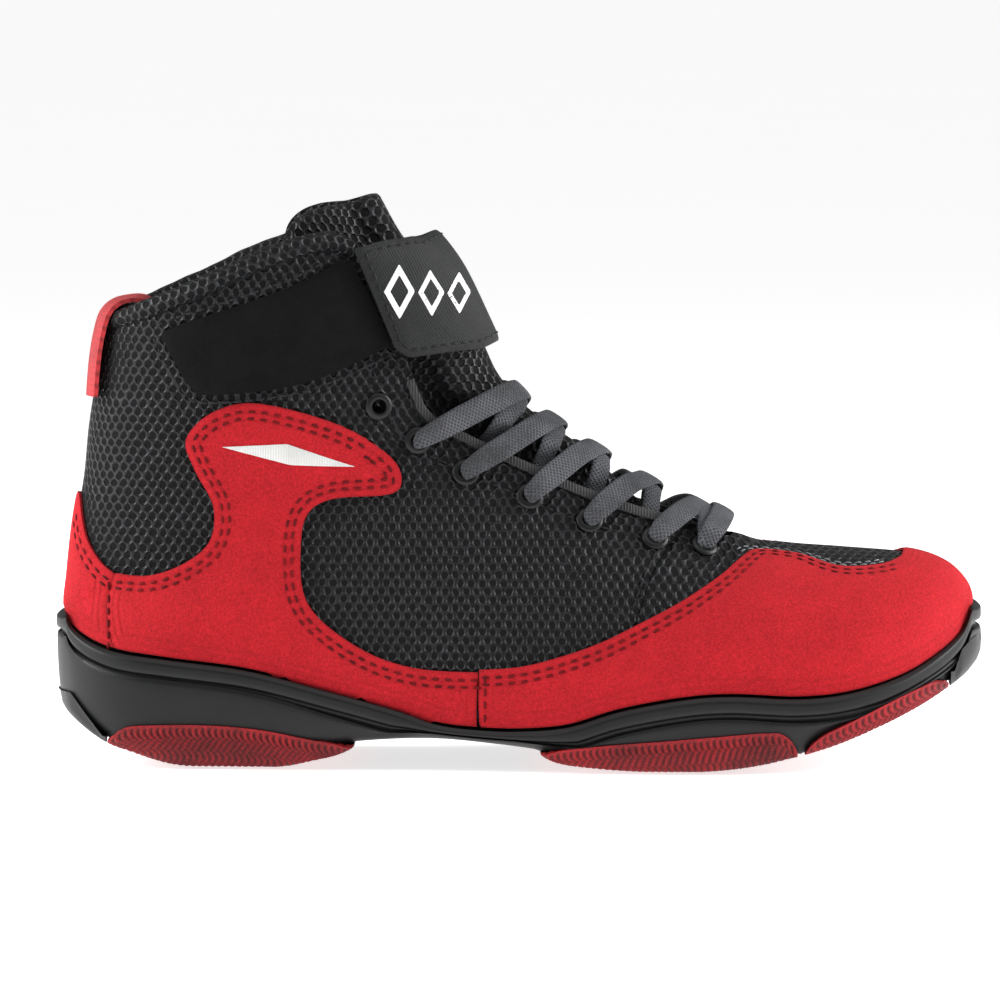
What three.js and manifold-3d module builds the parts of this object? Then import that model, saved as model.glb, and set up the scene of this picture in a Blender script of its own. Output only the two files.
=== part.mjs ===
// Boxing boot, right foot. Millimetres, +X towards the toe, -Y the outer (lateral) side, +Z up.
// The upper is a smooth shell built from rings between a front ridge line and a lower rear line;
// every panel is a layer of that shell cut to its side outline.
import * as THREE from 'three';
import { mergeVertices } from 'three/addons/utils/BufferGeometryUtils.js';
import Module from 'manifold-3d';

const wasm = await Module();
wasm.setup();
const { CrossSection, Manifold, Mesh: ManifoldMesh } = wasm;

// ---- Driving dimensions -------------------------------------------------------------------
const LENGTH = 290;            // heel bumper to toe tip of the sole
const HEIGHT = 178;            // ground to the top of the tongue
const BALL_WIDTH = 104;        // sole across the ball
const HEEL_WIDTH = 69;         // sole across the heel
const SHAFT_WIDTH = 74;        // upper at the topline
const GAP = 0.3;               // clearance between neighbouring pieces
const SOLE_LEDGE = 3.5;        // sole edge outside the upper
const LIP_HEIGHT = 7;          // band of the sole above its groove
const GROOVE_DEPTH = 1.2;      // groove under the lip
const TREAD_DEPTH = 3.5;       // tread pods below the black sole
const POD_PROUD = 0.9;         // tread pods outside the black sole
const MESH_T = 1.6;            // spacer mesh
const FOAM_T = 1.2;            // foam and stiffener layer
const LINING_T = 0.8;          // lining
const OVERLAY_T = 1.2;         // suede overlays
const TONGUE_T = 3.2;          // padded tongue
const ROLL_R = 3.4;            // rolled collar
const LACE_W = 7.6;            // flat lace
const LACE_T = 1.3;
const EYELET_COUNT = 7;        // a side; the top pair is not laced
const EYELET_BORE = 2.0;
const EYELET_R = 2.8;
const EYELET_FLANGE = 4.2;
const STRAP_T = 1.5;
const STRAP_REACH = 44;        // strap end behind the shaft front, inner side
const TAB_WIDTH = 28;          // heel pull tab
const TAB_T = 1.3;
const RINGS = 23;              // rings from toe to topline
const SPOKES = 7;              // steps on each side of a ring

// ---- Side-view curves ---------------------------------------------------------------------
// Control points are written for the 290 x 178 boot and follow LENGTH and HEIGHT.
const side = ([x, z]) => new THREE.Vector2(x * LENGTH / 290, z * HEIGHT / 178);
const spline = (points) => new THREE.SplineCurve(points.map(side));
const outline = (points, steps = 4) => spline(points).getPoints(steps * (points.length - 1));

const ridge = spline([
  [141.5, 48.6], [139.3, 54.4], [133, 60.2], [122, 63.8], [102, 65.7], [84, 67.2], [70, 69.8],
  [46, 83], [28, 93.3], [13, 103.3], [2, 111.5], [-6, 121], [-12, 133], [-23, 149], [-36, 164.5],
  [-43, 178]]);
const rear = spline([
  [141.5, 48.6], [137.9, 41.2], [130, 35], [118, 28.8], [102, 24.4], [86, 23], [65, 24], [50, 22.9],
  [31, 19.2], [15, 14.2], [0, 12.7], [-14, 13], [-26, 14.5], [-38, 18.6], [-59, 24.2], [-84, 30.4],
  [-108, 33.6], [-126, 36], [-137, 40.5], [-141.5, 46.5], [-140.6, 58], [-138.8, 73.7], [-136.3, 89],
  [-134.8, 104], [-132.6, 118], [-130.1, 133], [-127.5, 145], [-124, 158]]);
const FEATHER_END = 19;        // control point where the sole line turns up the heel
// Ridge point paired with each rear point, as control-point positions on the two curves.
const PAIRS = [[0, 0], [1.2, 1], [3, 3], [5, 6], [7, 10], [9, 14], [10.4, 17], [11.2, 19], [12, 21.5],
  [13, 23.5], [14, 25.2], [15, 27]];
const topline = outline([[-134, 138.5], [-126, 141.5], [-116.2, 145], [-99.1, 151.8], [-83.6, 158.9],
  [-71.3, 163.6], [-60.4, 166.2], [-54.2, 165.1], [-49.6, 162]], 2);
const throat = outline([[-57, 180], [-49.6, 162], [-35.6, 127.9], [-27.9, 110.3], [-18, 103.8], [0, 95.1],
  [18.6, 86.7], [37.2, 79.9], [54.2, 75], [66, 70.6], [70, 76]], 3);
const groundLine = spline([
  [-145, 22], [-142, 19], [-130, 11], [-120, 7.6], [-108, 4.2], [-98, 3.5], [-75, 3.5], [-62, 6],
  [-50, 8.2], [-28, 9.4], [-8, 8], [6, 6.4], [20, 4.6], [37, 3.5], [56, 3.5], [72, 5], [86, 8],
  [97, 11], [108, 15], [121, 20.5], [130, 25], [139, 30], [145, 34]]).getPoints(88);

// ---- Small helpers ------------------------------------------------------------------------
const clamp01 = (v) => Math.min(1, Math.max(0, v));
const ease = (a, b, v) => { const t = clamp01((v - a) / (b - a)); return t * t * (3 - 2 * t); };
const mix = (a, b, t) => a + (b - a) * t;

function onKeys(keys, v, column = 1) {
  let i = 0;
  while (i < keys.length - 2 && v > keys[i + 1][0]) i += 1;
  const t = clamp01((v - keys[i][0]) / (keys[i + 1][0] - keys[i][0]));
  return mix(keys[i][column], keys[i + 1][column], t);
}

function heightOn(points, x) {
  let i = 0;
  while (i < points.length - 2 && x > points[i + 1].x) i += 1;
  const t = clamp01((x - points[i].x) / (points[i + 1].x - points[i].x));
  return mix(points[i].y, points[i + 1].y, t);
}

// Signed distance from a side-view line, positive on its left going along it.
function sideOf(line, x, z) {
  let best = Infinity;
  let sign = 1;
  for (let i = 0; i + 1 < line.length; i += 1) {
    const a = line[i];
    const b = line[i + 1];
    const dx = b.x - a.x;
    const dz = b.y - a.y;
    const t = clamp01(((x - a.x) * dx + (z - a.y) * dz) / (dx * dx + dz * dz));
    const d = Math.hypot(x - a.x - t * dx, z - a.y - t * dz);
    if (d < best) {
      best = d;
      sign = Math.sign(dx * (z - a.y) - dz * (x - a.x)) || 1;
    }
  }
  return best * sign;
}

// ---- The surface of the upper ---------------------------------------------------------------
const pairAt = (s) => {
  const k = s * (PAIRS.length - 1);
  const i = Math.min(PAIRS.length - 2, Math.floor(k));
  const t = k - i;
  return [mix(PAIRS[i][0], PAIRS[i + 1][0], t), mix(PAIRS[i][1], PAIRS[i + 1][1], t)];
};
const controls = (curve, k) => curve.getPoint(clamp01(k / (curve.points.length - 1)));

// The last leans towards the inner side at the toe and a little outward at the waist.
const centreY = (x) => BALL_WIDTH * (0.065 * ease(40, 150, x * 290 / LENGTH)
  - 0.02 * Math.exp(-((x * 290 / LENGTH + 25) ** 2) / 2400));

// Half width of the upper along the sole line, before its ends are rounded.
const footHalf = (x) => {
  const heel = HEEL_WIDTH / 2 - SOLE_LEDGE;
  const ball = BALL_WIDTH / 2 - SOLE_LEDGE;
  const keys = [[-150, heel * 0.97], [-112, heel], [-70, mix(heel, ball, 0.08)],
    [-25, mix(heel, ball, 0.3)], [20, mix(heel, ball, 0.78)], [50, mix(heel, ball, 0.985)],
    [66, ball], [84, mix(heel, ball, 0.97)], [112, mix(heel, ball, 0.8)], [150, mix(heel, ball, 0.6)]];
  const u = x * 290 / LENGTH;
  return (onKeys(keys, u - 9) + onKeys(keys, u) + onKeys(keys, u + 9)) / 3;
};

// Full half width of ring s and how wide it still is at its rear end (1 open, 0 closed).
function ringShape(s) {
  const [, kb] = pairAt(s);
  const rearPoint = controls(rear, kb);
  const toTip = Math.max(0, LENGTH / 2 - SOLE_LEDGE - rearPoint.x);
  const toHeel = Math.max(0, rearPoint.x + LENGTH / 2 - SOLE_LEDGE);
  const tip = Math.sqrt(1 - (1 - clamp01(toTip / 52)) ** 2.3);
  const open = kb < FEATHER_END ? Math.sqrt(1 - (1 - clamp01(toHeel / 34)) ** 2.2) : 0;
  const shaft = mix(SHAFT_WIDTH * 0.44, SHAFT_WIDTH / 2, ease(0.74, 1, s));
  const half = mix(footHalf(rearPoint.x), shaft, ease(0.42, 0.78, s)) * tip;
  return { half, open };
}

// A point of the upper: s runs toe to topline, v runs -1 (outer, rear) over 0 (ridge) to 1.
function surfacePoint(s, v) {
  const [ka, kb] = pairAt(s);
  const a = controls(ridge, ka);
  const b = controls(rear, kb);
  const { half, open } = ringShape(s);
  const w = Math.abs(v);
  const closing = 1 - ease(0.45, 0.72, s);
  const u = mix((1 - Math.cos(Math.PI * w)) / 2, 1 - Math.cos(Math.PI * w / 2), closing);
  const front = Math.sqrt(Math.max(0, 1 - (1 - u) ** mix(2.7, 2.3, closing)));
  const back = Math.sqrt(Math.max(0, 1 - (1 - open * open) * u ** 3.4));
  const x = mix(a.x, b.x, u);
  return new THREE.Vector3(x, centreY(x) + Math.sign(v) * half * front * back, mix(a.y, b.y, u));
}

function surfaceFrame(s, v) {
  const e = 0.004;
  const vv = Math.abs(v) > 1 - e ? Math.sign(v) * (1 - e) : v;
  const ds = surfacePoint(Math.min(1, s + e), vv).sub(surfacePoint(Math.max(0, s - e), vv));
  const dv = surfacePoint(s, vv + e).sub(surfacePoint(s, vv - e));
  const normal = dv.cross(ds).normalize();
  if (Math.abs(v) === 1 && ringShape(s).open === 0) normal.setY(0).normalize();
  return { point: surfacePoint(s, v), normal };
}

function offsetPoint(s, v, offset) {
  const { point, normal } = surfaceFrame(s, v);
  const t = typeof offset === 'function' ? offset(point.x, point.z, v) : offset;
  return point.addScaledVector(normal, t);
}

// Ring and side positions of a side-view point.
function locate(x, z) {
  let best = { d: Infinity };
  for (let i = 0; i <= 600; i += 1) {
    const s = 0.02 + 0.98 * i / 600;
    const [ka, kb] = pairAt(s);
    const a = controls(ridge, ka);
    const b = controls(rear, kb);
    const u = clamp01(((x - a.x) * (b.x - a.x) + (z - a.y) * (b.y - a.y)) / a.distanceToSquared(b));
    const d = Math.hypot(mix(a.x, b.x, u) - x, mix(a.y, b.y, u) - z);
    if (d < best.d) best = { d, s, u };
  }
  let v = 0.5;
  for (let step = 0.25; step > 1e-4; step /= 2) {
    const p = surfacePoint(best.s, v);
    const [ka, kb] = pairAt(best.s);
    const a = controls(ridge, ka);
    const b = controls(rear, kb);
    const u = a.distanceTo(new THREE.Vector2(p.x, p.z)) / a.distanceTo(b);
    v += u < best.u ? step : -step;
  }
  return { s: best.s, v };
}

// ---- Solids -------------------------------------------------------------------------------
function solidFrom(positions, faces) {
  const geometry = new THREE.BufferGeometry();
  geometry.setAttribute('position', new THREE.Float32BufferAttribute(positions, 3));
  geometry.setIndex(faces);
  return toManifold(geometry);
}

function toManifold(source) {
  const bare = source.index ? source : source.clone();
  ['normal', 'uv'].forEach((name) => bare.deleteAttribute(name));
  const merged = mergeVertices(bare, 1e-4);
  const index = Array.from(merged.index.array);
  const kept = [];
  for (let i = 0; i < index.length; i += 3) {
    const [a, b, c] = index.slice(i, i + 3);
    if (a !== b && b !== c && a !== c) kept.push(a, b, c);
  }
  const build = (triVerts) => new Manifold(new ManifoldMesh({
    numProp: 3, vertProperties: new Float32Array(merged.attributes.position.array), triVerts }));
  const solid = build(new Uint32Array(kept));
  return solid.volume() < 0 ? build(new Uint32Array(kept).reverse()) : solid;
}

function toGeometry(solid) {
  const mesh = solid.getMesh();
  const geometry = new THREE.BufferGeometry();
  geometry.setAttribute('position', new THREE.BufferAttribute(mesh.vertProperties.slice(), 3));
  geometry.setIndex(new THREE.BufferAttribute(mesh.triVerts.slice(), 1));
  return geometry;
}

// Only the largest body of a cut, without slivers.
function mainBody(solid, tolerance = 0.1) {
  const largest = (s) => s.decompose().sort((a, b) => b.volume() - a.volume())[0];
  return largest(largest(solid).simplify(tolerance));
}

// Closed layer of the upper between two offsets, over rings s0..s1 and sides v0..v1.
function layer(inner, outer, { s0 = 0.012, s1 = 1, v0 = -1, v1 = 1, rings = RINGS } = {}) {
  const columns = Math.max(2, Math.round(SPOKES * (v1 - v0)));
  const positions = [];
  const joined = [];
  const at = (i, j, k) => (k * (rings + 1) + i) * (columns + 1) + j;
  for (const offset of [inner, outer]) {
    for (let i = 0; i <= rings; i += 1) {
      const t = i / rings;
      const s = s0 + (s1 - s0) * (s0 < 0.1 ? 0.75 * t + 0.25 * t * t : t);
      joined[i] = v0 === -1 && v1 === 1 && ringShape(s).open === 0;
      for (let j = 0; j <= columns; j += 1) {
        const v = joined[i] && j === columns ? -1 : mix(v0, v1, j / columns);
        positions.push(...offsetPoint(s, v, offset).toArray());
      }
    }
  }
  const faces = [];
  const quad = (a, b, c, d) => faces.push(a, b, c, a, c, d);
  for (let i = 0; i < rings; i += 1) {
    for (let j = 0; j < columns; j += 1) {
      quad(at(i, j, 0), at(i, j + 1, 0), at(i + 1, j + 1, 0), at(i + 1, j, 0));
      quad(at(i, j, 1), at(i + 1, j, 1), at(i + 1, j + 1, 1), at(i, j + 1, 1));
    }
    if (joined[i] && joined[i + 1]) continue;
    quad(at(i, 0, 0), at(i + 1, 0, 0), at(i + 1, 0, 1), at(i, 0, 1));
    quad(at(i, columns, 0), at(i, columns, 1), at(i + 1, columns, 1), at(i + 1, columns, 0));
  }
  for (let j = 0; j < columns; j += 1) {
    quad(at(0, j, 0), at(0, j, 1), at(0, j + 1, 1), at(0, j + 1, 0));
    quad(at(rings, j, 0), at(rings, j + 1, 0), at(rings, j + 1, 1), at(rings, j, 1));
  }
  return solidFrom(positions, faces);
}

// Prism of a side-view outline between two values of y.
function prism(points, y0 = -90, y1 = 90) {
  const flat = new CrossSection([points.map((p) => [p.x, p.y])], 'NonZero').simplify(0.02);
  return flat.extrude(y1 - y0).rotate([90, 0, 0]).translate([0, y1, 0]);
}

const feather = rear.getPoints(81).filter((_, i) => i <= 81 * FEATHER_END / 27)
  .map((p) => new THREE.Vector2(p.x, p.y)).reverse();
const featherAt = (x) => heightOn(feather, x);

// Side-view region above the sole line between two x values, up to the given top line.
function aboveSole(x0, x1, top) {
  const lower = [];
  for (let i = 0; i <= 40; i += 1) {
    const x = mix(x0, x1, i / 40);
    lower.push(new THREE.Vector2(x, featherAt(x) + 2 * GAP));
  }
  return [...lower, ...top];
}

// ---- Sole ---------------------------------------------------------------------------------
const SOLE_STEPS = 36;
function soleLoop(offset, zOf) {
  const ring = [];
  const stations = [];
  for (let i = 0; i <= SOLE_STEPS; i += 1) {
    const t = i / SOLE_STEPS;
    stations.push(mix(t, 0.5 - 0.5 * Math.cos(Math.PI * t), 0.6));
  }
  const tip = LENGTH / 2 - SOLE_LEDGE + offset;
  for (const t of stations) {
    const x = mix(-tip, tip, t);
    const base = x * (LENGTH / 2 - SOLE_LEDGE) / tip;
    const toTip = tip - x;
    const toHeel = x + tip;
    const rounded = Math.sqrt(1 - (1 - clamp01(toTip / (52 + offset))) ** 2.3)
      * Math.sqrt(1 - (1 - clamp01(toHeel / (34 + offset))) ** 2.2);
    const reach = LENGTH / 2 - SOLE_LEDGE;
    const z = zOf(Math.min(reach, Math.max(-reach, x)));
    ring.push({ x, base, half: (footHalf(base) + offset) * rounded, z });
  }
  return ring;
}

function loft(loops) {
  const n = SOLE_STEPS;
  const positions = [];
  const around = 2 * n;
  for (const loop of loops) {
    for (let k = 0; k < around; k += 1) {
      const p = k <= n ? loop[k] : loop[around - k];
      positions.push(p.x, centreY(p.base) + (k <= n ? -1 : 1) * p.half, p.z);
    }
  }
  const faces = [];
  const quad = (a, b, c, d) => faces.push(a, b, c, a, c, d);
  for (let l = 0; l + 1 < loops.length; l += 1) {
    for (let k = 0; k < around; k += 1) {
      const m = (k + 1) % around;
      quad(l * around + k, l * around + m, (l + 1) * around + m, (l + 1) * around + k);
    }
  }
  const last = (loops.length - 1) * around;
  for (let k = 0; k < n; k += 1) {
    const mate = (around - k) % around;
    quad(mate, around - k - 1, k + 1, k);
    quad(last + k, last + k + 1, last + around - k - 1, last + mate);
  }
  return solidFrom(positions, faces);
}

const soleTop = (x) => featherAt(x) - 0.9 * GAP;
const soleBottom = (x) => heightOn(groundLine, x);
// Levels of the sole side, from the bottom up: outward offset and height share of the thickness.
function soleSolid(grow = 0) {
  const thick = (x) => soleTop(x) - soleBottom(x);
  const lip = (x) => Math.min(LIP_HEIGHT, 0.5 * thick(x));
  const groove = (x) => GROOVE_DEPTH * clamp01((thick(x) - 5) / 6);
  const edge = SOLE_LEDGE + grow;
  const low = (x) => soleBottom(x) - grow;
  return loft([
    soleLoop(edge - 7.5, low),
    soleLoop(edge - 3.4, (x) => low(x) + Math.min(0.9, 0.15 * thick(x))),
    soleLoop(edge - 1.0, (x) => low(x) + Math.min(3.6, 0.3 * thick(x))),
    soleLoop(edge, (x) => soleTop(x) - lip(x) - groove(x) * 1.7 - 0.2),
    soleLoop(edge - GROOVE_DEPTH, (x) => soleTop(x) - lip(x) - groove(x) * 1.2 - 0.1),
    soleLoop(edge - GROOVE_DEPTH, (x) => soleTop(x) - lip(x) - groove(x) * 0.4),
    soleLoop(edge, (x) => soleTop(x) - lip(x) + 0.2),
    soleLoop(edge, (x) => soleTop(x) - 1.4),
    soleLoop(edge - 1.1, (x) => soleTop(x) + grow)]);
}

function podSolid() {
  const edge = SOLE_LEDGE + POD_PROUD;
  const low = (x) => Math.max(0, soleBottom(x) - TREAD_DEPTH);
  return loft([
    soleLoop(edge - 7.5, low),
    soleLoop(edge - 3.2, (x) => low(x) + 0.35),
    soleLoop(edge - 0.8, (x) => low(x) + 3.2),
    soleLoop(edge, (x) => low(x) + 9),
    soleLoop(edge, (x) => soleTop(x) - 2)]);
}

// A slab that follows the sole line, inset from the upper.
function slab(inset, lift, thickness) {
  const low = (x) => soleTop(x) + lift;
  return loft([
    soleLoop(-inset, low),
    soleLoop(-inset, (x) => low(x) + thickness)]);
}

// ---- Pieces -------------------------------------------------------------------------------
const boot = new THREE.Group();
boot.name = 'boxing_boot';
const finishes = {
  suede: { color: '#b42b2f', roughness: 0.9 },
  mesh: { color: '#242527', roughness: 0.75 },
  velour: { color: '#202022', roughness: 0.95 },
  strap: { color: '#2b2c2e', roughness: 0.6 },
  rubber: { color: '#1f2022', roughness: 0.55 },
  redRubber: { color: '#8d2325', roughness: 0.6 },
  foam: { color: '#3a3b3d', roughness: 1.0 },
  board: { color: '#b9ab8c', roughness: 1.0 },
  lining: { color: '#1b1c1e', roughness: 0.95 },
  binding: { color: '#9a9b9d', roughness: 0.8 },
  ring: { color: '#121315', roughness: 0.4 },
  lace: { color: '#4a4a4d', roughness: 0.85 },
};

function add(name, solid, finish) {
  const geometry = solid.isBufferGeometry ? solid : toGeometry(solid);
  const material = new THREE.MeshStandardMaterial({ metalness: 0, ...finishes[finish] });
  const mesh = new THREE.Mesh(geometry, material);
  mesh.name = name;
  boot.add(mesh);
}

const box2 = (x0, z0, x1, z1) => [
  new THREE.Vector2(x0, z0), new THREE.Vector2(x1, z0), new THREE.Vector2(x1, z1),
  new THREE.Vector2(x0, z1)];

// Sole, its foam core, treads and bumpers.
const CORE_INSET = 6;
const core = (grow) => loft([
  soleLoop(-CORE_INSET - 4 + grow, (x) => mix(soleBottom(x), soleTop(x), 0.45) - grow),
  soleLoop(-CORE_INSET + grow, (x) => mix(soleBottom(x), soleTop(x), 0.6)),
  soleLoop(-CORE_INSET + grow, (x) => soleTop(x) + (grow > 0 ? 2 : -GAP))]);
const sole = soleSolid();
add('cupsole', mainBody(sole.subtract(core(GAP))), 'rubber');
add('midsole_core', core(0), 'foam');

const soleClear = soleSolid(3 * GAP);
const pods = podSolid().subtract(soleClear);
const tread = (points) => mainBody(pods.intersect(prism(outline(points))));
const below = (top) => [...outline(top, 4), side([top.at(-1)[0] + 1, -8]), side([top[0][0] - 1, -8])];
const POD_HEEL = [[-128.5, 9], [-122.4, 12.4], [-111.5, 13.4], [-96, 13.4], [-80.5, 12.1], [-66, 9.4],
  [-51, 6.8]];
const POD_FORE = [[6.2, 6], [24.8, 8.4], [43.4, 10], [62, 11.6], [74.4, 12.5], [83, 12.2], [86, 9.6]];
const POD_TOE = [[88, 8.6], [93, 11.2], [105.3, 16.8], [117.7, 22.4], [128, 26.3], [134, 27.6]];
const heelPart = [[-146, 22], [-140, 22], [-135, 16], [-129.5, 9.4]];
const toePart = [[135.5, 29], [138, 35.5], [141, 38], [146, 41]];
for (const [name, top, finish] of [['tread_heel', POD_HEEL, 'redRubber'],
  ['tread_forefoot', POD_FORE, 'redRubber'], ['tread_toe', POD_TOE, 'redRubber'],
  ['heel_bumper', heelPart, 'rubber'], ['toe_bumper', toePart, 'rubber']]) {
  add(name, mainBody(pods.intersect(prism(below(top)))), finish);
}

// Footbed inside the upper.
const LININGS = MESH_T + FOAM_T + LINING_T + 2 * GAP;
add('insole_board', slab(LININGS + 2.1, GAP, 1.6), 'board');

// Layers of the upper, outside in.
const meshLayer = layer(-MESH_T, 0);
const foamLayer = layer(-MESH_T - GAP - FOAM_T, -MESH_T - GAP);
const liningLayer = layer(-LININGS, -LININGS + LINING_T);
add('sockliner', mainBody(slab(LININGS + 3.8, GAP + 1.6 + GAP, 3.4)
  .subtract(layer(-LININGS - GAP / 2, -LININGS + LINING_T))), 'lining');
const overlayLayer = layer(GAP, GAP + OVERLAY_T);

// Outlines of the panels.
const ROLL_DROP = 2 * ROLL_R - 1;
const drop = (points, d) => points.map((p) => new THREE.Vector2(p.x, p.y - d));
const collarEdge = [...drop(topline, ROLL_DROP)];
const QUARTER_SEAM = [[31, 20.6], [33, 36], [42, 62], [53.2, 76]];
const seam = outline(QUARTER_SEAM, 3);
const seamShift = (d) => seam.map((p) => new THREE.Vector2(p.x + d, p.y));
const throatUp = throat.filter((p) => p.x < seam.at(-1).x && p.x > collarEdge.at(-1).x + 1.5);
const low = feather.map((p) => new THREE.Vector2(p.x, p.y + 2 * GAP));
const rearCut = [side([-170, 36]), side([-170, 138.5])];
const quarterOutline = (reach) => [
  ...low.filter((p) => p.x < seam[0].x - 1), ...seamShift(-GAP / 2 - reach),
  ...throatUp.slice().reverse(), ...collarEdge.slice().reverse(), rearCut[1], rearCut[0]];
const vampOutline = [
  ...seamShift(GAP / 2).reverse(), ...low.filter((p) => p.x > seam[0].x + 1),
  side([175, 50]), side([175, 90]), side([72, 90]), ...throat.filter((p) => p.x > seam.at(-1).x + 0.5)
    .slice().reverse()];

const half = (solid, sideSign) => (sideSign < 0
  ? solid.intersect(prism(box2(-200, -20, 200, 220), -90, -GAP / 2))
  : solid.intersect(prism(box2(-200, -20, 200, 220), GAP / 2, 90)));

// Eyelets: punched through every layer, one ring each.
const EYELET_TOP = [[-43.7, 111.8], [-31.6, 101], [-16.7, 91], [3.1, 83.6], [21.7, 76.2], [42, 70.6],
  [57.4, 67.8]];
const eyelets = [];
for (const sign of [-1, 1]) {
  for (let k = 0; k < EYELET_COUNT; k += 1) {
    const p = side(EYELET_TOP[k]);
    const { s, v } = locate(p.x, p.y);
    const { point, normal } = surfaceFrame(s, sign * v);
    eyelets.push({ sign, k, s, v: sign * v, point, normal });
  }
}
const turned = (profile, eyelet, segments = 12) => {
  const geometry = new THREE.LatheGeometry(profile.map(([r, h]) => new THREE.Vector2(r, h)), segments);
  geometry.applyQuaternion(new THREE.Quaternion().setFromUnitVectors(
    new THREE.Vector3(0, 1, 0), eyelet.normal));
  geometry.translate(eyelet.point.x, eyelet.point.y, eyelet.point.z);
  return geometry;
};
const PUNCH_R = (EYELET_R + 1.4 * GAP) / Math.cos(Math.PI / 7);
const punches = Manifold.union(eyelets.map((eyelet) => toManifold(turned(
  [[0, -LININGS - 3], [PUNCH_R, -LININGS - 3], [PUNCH_R, -0.1], [EYELET_FLANGE + 2 * GAP, 0.1],
    [EYELET_FLANGE + 2 * GAP, 3], [0, 3], [0, -LININGS - 3]],
  eyelet, 7))));

// Collar roll round the topline.
const rollPath = [];
for (const sign of [-1, 1]) {
  const run = topline.filter((p) => p.x > -131).map((p) => {
    const { s, v } = locate(p.x, p.y - ROLL_R);
    return offsetPoint(s, sign * v, -LININGS / 2);
  });
  rollPath.push(...(sign < 0 ? run.reverse() : run));
}
const rollCurve = new THREE.CatmullRomCurve3(rollPath.filter((p, i) => i % 2 === 0));
function tube(radius) {
  const shape = new THREE.Shape();
  shape.absarc(0, 0, radius, 0, 2 * Math.PI);
  return toManifold(new THREE.ExtrudeGeometry(shape, {
    extrudePath: rollCurve, steps: 40, curveSegments: 5, bevelEnabled: false }));
}
add('collar_roll', tube(ROLL_R), 'mesh');
const rollClear = tube(ROLL_R + 1.5 * GAP);

const soleTouch = soleSolid(GAP / 2);
const quarter = meshLayer.intersect(prism(quarterOutline(0)))
  .subtract(punches.add(rollClear).add(soleTouch));
add('quarter_mesh_outer', mainBody(half(quarter, -1)), 'mesh');
add('quarter_mesh_inner', mainBody(half(quarter, 1)), 'mesh');
const vampShape = prism(vampOutline);
const vampPiece = mainBody(meshLayer.intersect(vampShape).subtract(punches.add(soleTouch)));
add('vamp_mesh', vampPiece, 'mesh');

// Stiffeners take the foam layer's place at the toe and round the heel.
const counterTop = outline([[-150, 92], [-128, 90], [-96, 72], [-62, 44], [-54, 20]]);
const counterOutline = [...counterTop, ...drop(counterTop, 90).reverse()];
const counterPrism = prism(aboveSole(-141.4 * LENGTH / 290, -54 * LENGTH / 290,
  [...counterTop].reverse()));
const puffLine = outline([[92, 20], [94, 50], [104, 80]], 3);
const puffPrism = prism(aboveSole(92 * LENGTH / 290, 141.4 * LENGTH / 290,
  [side([165, 60]), side([165, 80]), ...puffLine.slice().reverse()]));
// Foam and lining stop behind the eyelets.
const innerThroat = throatUp.map((p) => new THREE.Vector2(p.x - 17, p.y - 9));
const innerPrism = prism([...low.filter((p) => p.x < seam[0].x - 2),
  ...innerThroat.slice().reverse(), ...collarEdge.slice(0, -7).reverse(), rearCut[1], rearCut[0]]);
const backFoam = foamLayer.intersect(innerPrism).subtract(rollClear.add(punches));
add('heel_counter', mainBody(backFoam.intersect(counterPrism)), 'board');
const counterClear = prism(counterOutline.map((p) => new THREE.Vector2(p.x + 0.6, p.y + 0.6)));
add('quarter_foam', mainBody(backFoam.subtract(counterClear)), 'foam');
add('toe_puff', mainBody(foamLayer.intersect(puffPrism)), 'board');
add('quarter_lining', mainBody(liningLayer.intersect(innerPrism).subtract(rollClear.add(punches))),
  'lining');
add('vamp_lining', mainBody(liningLayer.intersect(vampShape).subtract(punches)), 'lining');

// Suede overlays.
const overlay = (points) => overlayLayer.intersect(prism(points)).subtract(soleTouch);
const HEEL_SEAM = -125.5 * LENGTH / 290;
const TOE_SEAM = -12.4 * LENGTH / 290;
const flag = outline([[-125.5, 59.5], [-114.6, 59], [-103.8, 63], [-96, 70], [-94.8, 81], [-100.4, 92],
  [-103.2, 101.6], [-95, 110.2], [-80.5, 113], [-55.1, 106], [-40, 96], [-36.6, 88.2], [-41, 84.4],
  [-58, 83.2], [-66, 78], [-67.8, 65.6], [-66.6, 53.4], [-60, 44.6], [-46, 35.6], [-31, 31.2],
  [-12.6, 30.2]], 3);
const inRange = (points, a, b) => points.filter((p) => p.x > a && p.x < b);
const flagOutline = [...inRange(low, HEEL_SEAM + GAP, TOE_SEAM - GAP),
  new THREE.Vector2(TOE_SEAM - GAP, side([0, 30.2]).y), ...flag.slice(0, -1).reverse(),
  new THREE.Vector2(HEEL_SEAM + GAP, side([0, 59.5]).y)];
const flagPiece = overlay(flagOutline);
add('overlay_outer', mainBody(half(flagPiece, -1)), 'suede');
add('overlay_inner', mainBody(half(flagPiece, 1)), 'suede');
const heelInner = outline([[-125.5, 59.2], [-130, 62.8], [-134.6, 70.6], [-136.2, 83], [-135.6, 94.8]], 2);
add('overlay_heel', mainBody(overlay([...inRange(low, -200, HEEL_SEAM - GAP / 2),
  ...heelInner.map((p) => new THREE.Vector2(p.x - GAP / 2, p.y)), side([-170, 94.8]),
  side([-170, 36])])), 'suede');
const toeTop = outline([[-12.4, 31], [0, 31.9], [12.4, 35], [24.8, 39.3], [37.2, 45.2], [49.6, 51.4],
  [62, 58.9], [69.7, 64.4], [74.4, 65.7], [86.7, 64.4], [99.1, 61], [111.5, 61], [119.3, 62.9],
  [125.5, 66.5]], 3);
add('overlay_toe', mainBody(overlay([...toeTop.slice().reverse(),
  ...inRange(low, TOE_SEAM, 200), side([175, 50]), side([175, 66.5])])), 'suede');

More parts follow.
